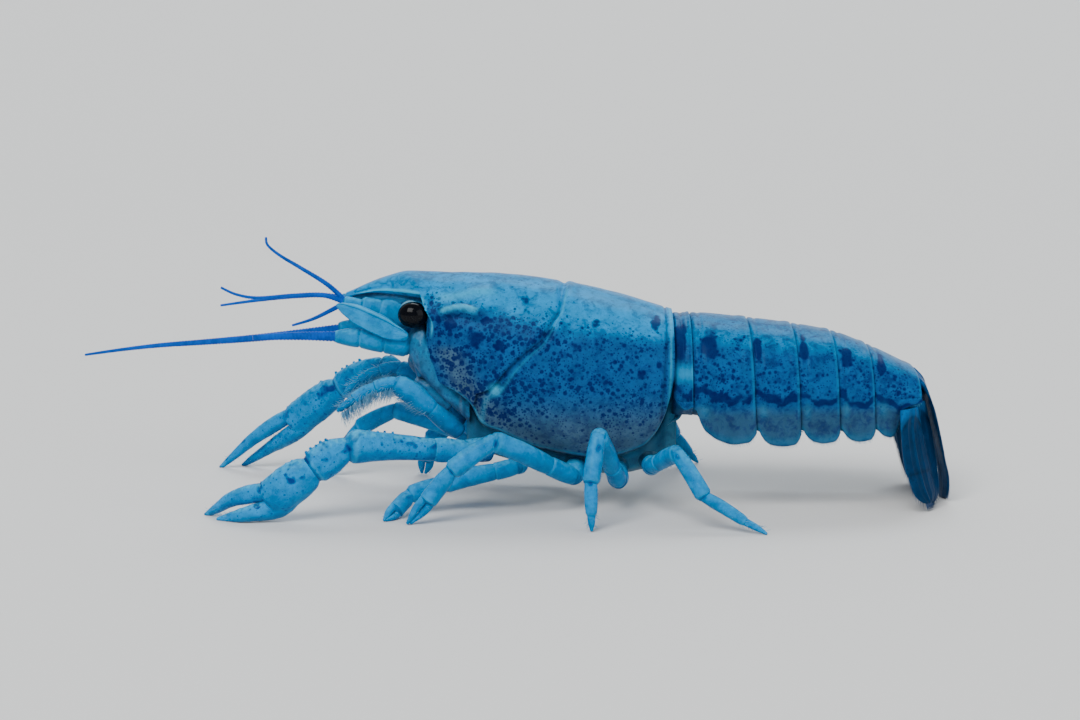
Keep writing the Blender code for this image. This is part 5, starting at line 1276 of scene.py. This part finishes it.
for mark, claw in CLAWS.items():
    size, spots = claw["size"], claw["spots"]
    (root, hip, elbow), finger, thumb = (np.array(claw[part]) for part in ("arm", "finger", "thumb"))
    wrist, palm = np.array(claw["wrist"]), np.array(claw["palm"])
    axis = unit(np.cross(palm - hip, UP))
    ring = hip + CLAW_RING_PLACE * (elbow - hip)
    row = elbow + 0.55 * (ring - elbow)
    arm = [podomere(root, hip, CLAW_HIP_TABLE, axis),
           podomere(hip, ring, scaled(CLAW_RING_TABLE, size), axis),
           podomere(ring, elbow, scaled(ARM_TABLE, size), axis, bow=0.15, sides=40, rings=44),
           *knobs(row, elbow, axis, 1.3 * size, 1.9 * size, count=6, radius=0.2)]
    row = elbow + 0.3 * (wrist - elbow)
    socket = elbow + unit(wrist - elbow) * 0.1
    joint = [podomere(socket, wrist, scaled(WRIST_TABLE, size), axis, bow=0.1, sides=40, rings=40),
             *knobs(row, wrist, axis, 1.4 * size, 2.2 * size, count=5, radius=0.24)]
    ahead = unit(palm - wrist)
    rise = upward(axis, ahead)
    start = palm - ahead * THUMB_ROOT_BACK - rise * (THUMB_ROOT_DROP * size)
    thumb_line = (start, palm - rise * THUMB_DROP * size, thumb[0], 0.5 * (thumb[0] + thumb[1]), thumb[1])
    row = wrist + 0.15 * (palm - wrist)
    socket = wrist + ahead * 0.1
    hand = [podomere(socket, palm, scaled(PALM_TABLE, size), axis, bow=0.08, sides=40, rings=44),
            limb(thumb_line, scaled(THUMB_TABLE, size), axis, sides=28, rings=40),
            *knobs(row, palm, axis, 1.5 * size, 2.42 * size, count=7, radius=0.22)]
    start = palm - ahead * FINGER_ROOT_BACK + rise * (FINGER_ROOT_RISE * size)
    finger_line = (start, start + 0.35 * (finger[0] - start) + rise * 0.1, finger[0],
                   0.45 * finger[0] + 0.55 * finger[1], finger[1])
    moving = [limb(finger_line, scaled(FINGER_TABLE, size), axis, sides=28, rings=44)]
    for part, lofts in (("arm", arm), ("wrist", joint)):
        jointed(f"claw_{part}_shell_{mark}", lofts, claw_finish, "claw_blue", [f"claw_{part}_{mark}"],
                spots, speckle=0.45, rough=0.07, mottle=0.5)
    palm_piece = melted("claw_palm_shell_" + mark, hand)
    roughened(palm_piece, 0.08)
    marks = limb_marks(*points_and_normals(palm_piece), spots, speckle=0.5, pale=0.75, mottle=0.5)
    set_marks(palm_piece, marks)
    fitted(palm_piece, claw_finish, "claw_blue", "claw_palm_" + mark)
    jointed("claw_finger_shell_" + mark, moving, claw_finish, "claw_blue", ["claw_finger_" + mark],
            spots, speckle=0.45, rough=0.05, mottle=0.5)


# Walking legs: four pairs of thin glossy tubes of azure shell, rooted in the breast
# plate's sockets and jointed at the knee and below it. The first two pairs end in
# slim pincers, the last two in single claws.
LEGS = {
    "leg1_l": ((-2.2, -4.8, 5.8), (-2.9, -6.6, 5.3), (-11.3, -8.0, 3.5), (-15.5, -9.6, 2.5),
               (-18.3, -13.0, 0.0)),
    "leg2_l": ((4.3, -4.8, 4.8), (3.9, -7.6, 4.3), (-5.4, -12.7, 9.7), (-10.4, -14.0, 6.4),
               (-15.4, -14.5, 0.0)),
    "leg3_l": ((9.3, -4.8, 4.5), (9.4, -8.0, 3.9), (6.8, -14.2, 10.6), (5.9, -17.0, 5.7),
               (6.0, -18.0, 0.0)),
    "leg4_l": ((13.4, -4.8, 5.2), (13.3, -8.6, 5.8), (16.1, -14.2, 8.5), (19.1, -17.0, 4.0),
               (26.2, -19.4, 0.0)),
    "leg1_r": ((-2.2, 4.8, 5.8), (-4.6, 7.2, 4.9), (-18.3, 10.4, 8.9), (-23.0, 11.2, 6.4),
               (-26.6, 12.2, 0.0)),
    "leg2_r": ((4.3, 4.8, 4.8), (2.6, 7.4, 4.4), (-9.8, 11.6, 8.2), (-14.0, 12.2, 4.6),
               (-14.9, 12.8, 0.0)),
    "leg3_r": ((9.3, 4.8, 4.5), (9.6, 8.0, 3.9), (9.0, 14.4, 10.4), (9.8, 17.2, 5.6),
               (10.8, 18.2, 0.0)),
    "leg4_r": ((13.4, 4.8, 5.2), (13.6, 8.4, 5.6), (15.4, 14.2, 8.6), (17.4, 17.4, 4.2),
               (20.6, 19.4, 0.0))}
LEG_SIZE = {"leg1": 1.04, "leg2": 1.12, "leg3": 1.1, "leg4": 0.97}
LEG_SPOTS = {"leg1_l": ((-11.3, 3.5, 0.5), (-15.5, 2.5, 0.4)),
             "leg2_l": ((-5.2, 9.4, 0.55), (-10.4, 6.4, 0.4)),
             "leg3_l": ((6.8, 9.6, 0.6), (5.9, 5.7, 0.4)),
             "leg4_l": ((16.1, 8.3, 0.5), (19.1, 4.0, 0.4))}
PINCER_LEGS = ("leg1", "leg2")
PINCER_SPREAD = 0.5
PINCER_TIP_Z = 0.2
PINCER_PLACE = 0.5
LEG_RING_PLACE = 0.3
TOE_PLACE = 0.66
TOE_BOW = 0.12
TOE_TIP_Z = 0.15
LEG_HIP_TABLE = ((0.0, 1.1, 1.15), (0.7, 1.2, 1.25), (1.0, 0.95, 1.0))
LEG_SHIN_TABLE = ((0.0, 0.75, 0.85), (0.25, 0.88, 1.0), (0.8, 0.95, 1.08), (0.94, 0.97, 1.08),
                  (1.0, 0.8, 0.85))
HAND_TABLE = ((0.0, 0.7, 0.75), (0.4, 0.85, 0.98), (1.0, 0.78, 1.0))
PINCER_TABLE = ((0.0, 0.42, 0.5), (0.5, 0.42, 0.44), (1.0, 0.16, 0.17))
FOOT_TABLE = ((0.0, 0.66, 0.7), (0.3, 0.72, 0.8), (0.92, 0.62, 0.68), (1.0, 0.5, 0.52))
TOE_TABLE = ((0.0, 0.46, 0.5), (0.5, 0.38, 0.42), (1.0, 0.15, 0.15))

for name, line in LEGS.items():
    pair, side_mark = name[:4], name[4:]
    size = LEG_SIZE[pair]
    root, hip, knee, ankle, foot = np.array(line)
    axis = unit(np.cross(foot - hip, UP))
    short = hip + LEG_RING_PLACE * (knee - hip)
    thigh = [podomere(root, hip, scaled(LEG_HIP_TABLE, size), axis),
             podomere(hip, short, scaled(knuckled(0.98, 1.05), size), axis),
             podomere(short, knee, scaled(knuckled(0.98, 1.12, 0.85), size), axis, bow=0.12, rings=36)]
    shin = [podomere(knee, ankle, scaled(LEG_SHIN_TABLE, size), axis, bow=0.12)]
    reach = foot - ankle
    if pair in PINCER_LEGS:
        split = ankle + PINCER_PLACE * reach
        spread = unit(np.cross(axis, reach)) * PINCER_SPREAD
        shin.append(podomere(ankle, split + 0.04 * reach, scaled(HAND_TABLE, size), axis))
        for way in (-1, 1):
            start = split + spread * way - 0.05 * reach
            tip = foot + spread * (0.5 * way, 0.5 * way, 0.0) + (0.0, 0.0, PINCER_TIP_Z)
            middle = 0.5 * (start + tip) + spread * way * 0.35
            shin.append(limb((start, middle, tip), scaled(PINCER_TABLE, size), axis, sides=18, rings=20))
    else:
        split = ankle + TOE_PLACE * reach
        middle = 0.5 * (split + foot) + (0.0, 0.0, TOE_BOW)
        tip = foot + (0.0, 0.0, TOE_TIP_Z)
        shin.append(podomere(ankle, split, scaled(FOOT_TABLE, size), axis, bow=0.08))
        shin.append(limb((split, middle, tip), scaled(TOE_TABLE, size), axis, sides=18, rings=20))
    for part, node, lofts, rough in (("_thigh", "_upper", thigh, 0.04), ("_shin", "_lower", shin, 0.03)):
        jointed(pair + part + side_mark, lofts, leg_finish, "leg_blue", [pair + node + side_mark],
                LEG_SPOTS.get(name, ()), rough=rough)


# Bristles: stiff pale hairs of horn, rooted in the shell. Long ones fringe the mouth
# legs, and short ones stand on the walking legs, round the fingers and under the
# tail's lobes.
bristle_random = np.random.default_rng(11)
MOUTH_LEG_HAIRS = ((slice(2, 5), 0.62, 520, 1.75, 0.45, True), (slice(2, 5), 0.62, 180, 0.9, 0.8, False),
                   (slice(1, 3), 1.05, 260, 1.1, 0.6, True), (slice(0, 3), 0.98, 90, 0.6, 0.8, False))
LEG_HAIRS = ((slice(3, 5), 0.55, 90, 0.5, 0.7, False), (slice(2, 4), 0.85, 60, 0.45, 0.8, False),
             (slice(1, 3), 0.95, 40, 0.45, 0.8, True))
FINGER_HAIRS = ((slice(0, 3), 0.62, 110, 0.4, 0.8, False),)
MOUTH_LEG_HAIR = {"width": 0.032, "bend": 0.16}
LEG_HAIR = {"width": 0.028, "bend": 0.1}
SHORT_HAIR = {"width": 0.026, "bend": 0.08}
HAIR_PLACES = (0.05, 0.97)
HAIR_LENGTHS = (0.6, 1.15)
HAIR_ROOT_DEPTH = 0.92
LOW_HAIR_SPREAD = 0.45
LOWEST_ROOT_Z = 0.3
LOWEST_TIP_Z = 0.08
LOBE_BRISTLES = 46
LOBE_BRISTLE_PLACES = (0.1, 0.97)
LOBE_BRISTLE_LENGTH = 0.5
LOBE_BRISTLE_LENGTHS = (0.7, 1.2)
LOBE_BRISTLE_LIE = (0.5, -0.15, -1.0)


def limb_bristles(points, axis, radius, count, reach, lean, low_only):
    """Roots, directions and lengths of hairs scattered along a limb's line."""
    lengths = lengths_along(points)
    place = bristle_random.uniform(*HAIR_PLACES, count) * lengths[-1]
    centre, ahead = (np.stack([np.interp(place + step, lengths, points[:, k]) for k in range(3)], -1)
                     for step in (0.0, 0.2))
    heading = unit(ahead - centre + 1e-6 * unit(points[-1] - points[-2]))
    up = unit(np.cross(unit(axis), heading))
    side = np.cross(heading, up)
    turn = bristle_random.uniform(0.0, 2 * math.pi, count)
    if low_only:
        spread = bristle_random.normal(0.0, LOW_HAIR_SPREAD, count)
        turn = np.where(up[:, 2] > 0, -1, 1) * (0.5 * math.pi + spread)
    out = np.cos(turn)[:, None] * side + np.sin(turn)[:, None] * up
    reaches = reach * bristle_random.uniform(*HAIR_LENGTHS, count)
    return centre + out * radius * HAIR_ROOT_DEPTH, out + heading * lean, reaches


def rows_of_hair(line, axis, size, hairs):
    """The hairs of a limb; each row of hairs has a part of the line, radius, count, length and lean."""
    return [limb_bristles(line[part], axis, radius * size, *more) for part, radius, *more in hairs]


def fringe(name, parts, hair, slot):
    """One piece of pale bristles from several limbs' hairs, none of them below the floor."""
    roots, lies, reaches = (np.concatenate(values) for values in zip(*parts))
    tips = roots + unit(lies) * reaches[:, None]
    keep = (roots[:, 2] > LOWEST_ROOT_Z) & (tips[:, 2] > LOWEST_TIP_Z)
    bristles(name, roots[keep], lies[keep], reaches[keep], hair, pale_hair, slot)


for side, mark in SIDES:
    parts = rows_of_hair(on_side(MOUTH_LEG, side), ACROSS, 1.0, MOUTH_LEG_HAIRS)
    fringe("mouth_leg_bristles_" + mark, parts, MOUTH_LEG_HAIR, "leg_blue")
parts = []
for name, line in LEGS.items():
    line = np.array(line)
    parts += rows_of_hair(line, np.cross(line[4] - line[1], UP), LEG_SIZE[name[:4]], LEG_HAIRS)
fringe("leg_bristles", parts, LEG_HAIR, "leg_blue")
parts = []
for claw in CLAWS.values():
    axis = np.cross(np.subtract(claw["palm"], claw["arm"][1]), UP)
    for part in ("finger", "thumb"):
        parts += rows_of_hair(np.array((claw["palm"], *claw[part])), axis, claw["size"], FINGER_HAIRS)
fringe("claw_bristles", parts, SHORT_HAIR, "claw_blue")
parts = []
for front, rear, lobe in TAIL_SEGMENTS[1:]:
    place = np.linspace(*LOBE_BRISTLE_PLACES, LOBE_BRISTLES)
    x = front + (rear - front) * place
    x = x + along(x, TAIL_LEAN)
    half = along(x, TAIL_HALF_WIDTH) * 0.97 - 0.2
    for side, _ in SIDES:
        roots = np.stack((x, side * half, lobe_edge(place, lobe) + 0.05), -1)
        lies = np.tile(on_side(LOBE_BRISTLE_LIE, side), (LOBE_BRISTLES, 1))
        reaches = LOBE_BRISTLE_LENGTH * bristle_random.uniform(*LOBE_BRISTLE_LENGTHS, LOBE_BRISTLES)
        parts.append((roots, lies, reaches))
fringe("tail_lobe_bristles", parts, SHORT_HAIR, "shell_blue")


# Floor: a plain pale sheet that runs far past the animal and sweeps up behind it.
# It isn't part of the model, and neither are the lamps round it.
FLOOR_FRONT = -2.5
SWEEP_START = 0.35
SWEEP_RADIUS = 0.8
FLOOR_HALF = 3.0
FLOOR_TOP = 2.5
sweep = [(FLOOR_FRONT, 0.0), (SWEEP_START, 0.0)]
for bend in np.radians(np.arange(3.0, 91.0, 3.0)):
    sweep.append((SWEEP_START + SWEEP_RADIUS * math.sin(bend), SWEEP_RADIUS * (1 - math.cos(bend))))
sweep.append((sweep[-1][0], FLOOR_TOP))
floor_sheet = new_piece("pale_floor", [(side * FLOOR_HALF, y, z) for y, z in sweep for side in (-1, 1)],
                        faces=[(2 * k, 2 * k + 1, 2 * k + 3, 2 * k + 2) for k in range(len(sweep) - 1)])
floor_sheet.data.shade_smooth()
floor_paint, floor_tree, floor_shader = new_finish("pale floor paint")
wired(floor_tree, floor_shader, {"Base Color": (0.8, 0.8, 0.79, 1.0), "Roughness": 0.8})
floor_sheet.data.materials.append(floor_paint)


# Lamps: a broad soft key from the left and above, a weaker fill, and a weak rim
# lamp behind, in a pale blue-grey room.
LAMPS = (("key", (-0.64, -1.36, 1.68), 1.3, 46.0, (1.0, 0.99, 0.97)),
         ("fill", (1.52, -1.2, 0.8), 1.6, 14.0, (0.93, 0.96, 1.0)),
         ("rim", (0.2, 1.05, 1.3), 0.9, 15.0, (0.9, 0.96, 1.0)))
LIT_POINT = Vector((0.0, 0.0, 0.015))
for lamp_name, spot, size, power, tint in LAMPS:
    lamp_data = bpy.data.lights.new(lamp_name, "AREA")
    lamp_data.size = size
    lamp_data.energy = power
    lamp_data.color = tint
    lamp = bpy.data.objects.new(lamp_name, lamp_data)
    lamp.location = spot
    lamp.rotation_euler = (LIT_POINT - Vector(spot)).to_track_quat("-Z", "Y").to_euler()
    bpy.context.scene.collection.objects.link(lamp)
room = bpy.data.worlds.new("pale room")
room.use_nodes = True
sky = room.node_tree.nodes["Background"]
wired(room.node_tree, sky, {"Color": (0.84, 0.9, 0.97, 1.0), "Strength": 0.3})
bpy.context.scene.world = room


# Camera: a long lens at the animal's left side, 31 cm away and looking ten degrees
# down, so that the animal is seen as in the photo and as large in the picture.
CAMERA_PLACE = (0.0, -306.25, 71.13)
CAMERA_TURN = (math.radians(80), 0.0, 0.0)
camera_data = bpy.data.cameras.new("side camera")
camera_data.lens = 85
camera_data.sensor_width = 36
camera_data.clip_start = 0.01
camera = bpy.data.objects.new("side camera", camera_data)
camera.location = placed(CAMERA_PLACE)[0].tolist()
camera.rotation_euler = CAMERA_TURN
bpy.context.scene.collection.objects.link(camera)
bpy.context.scene.camera = camera
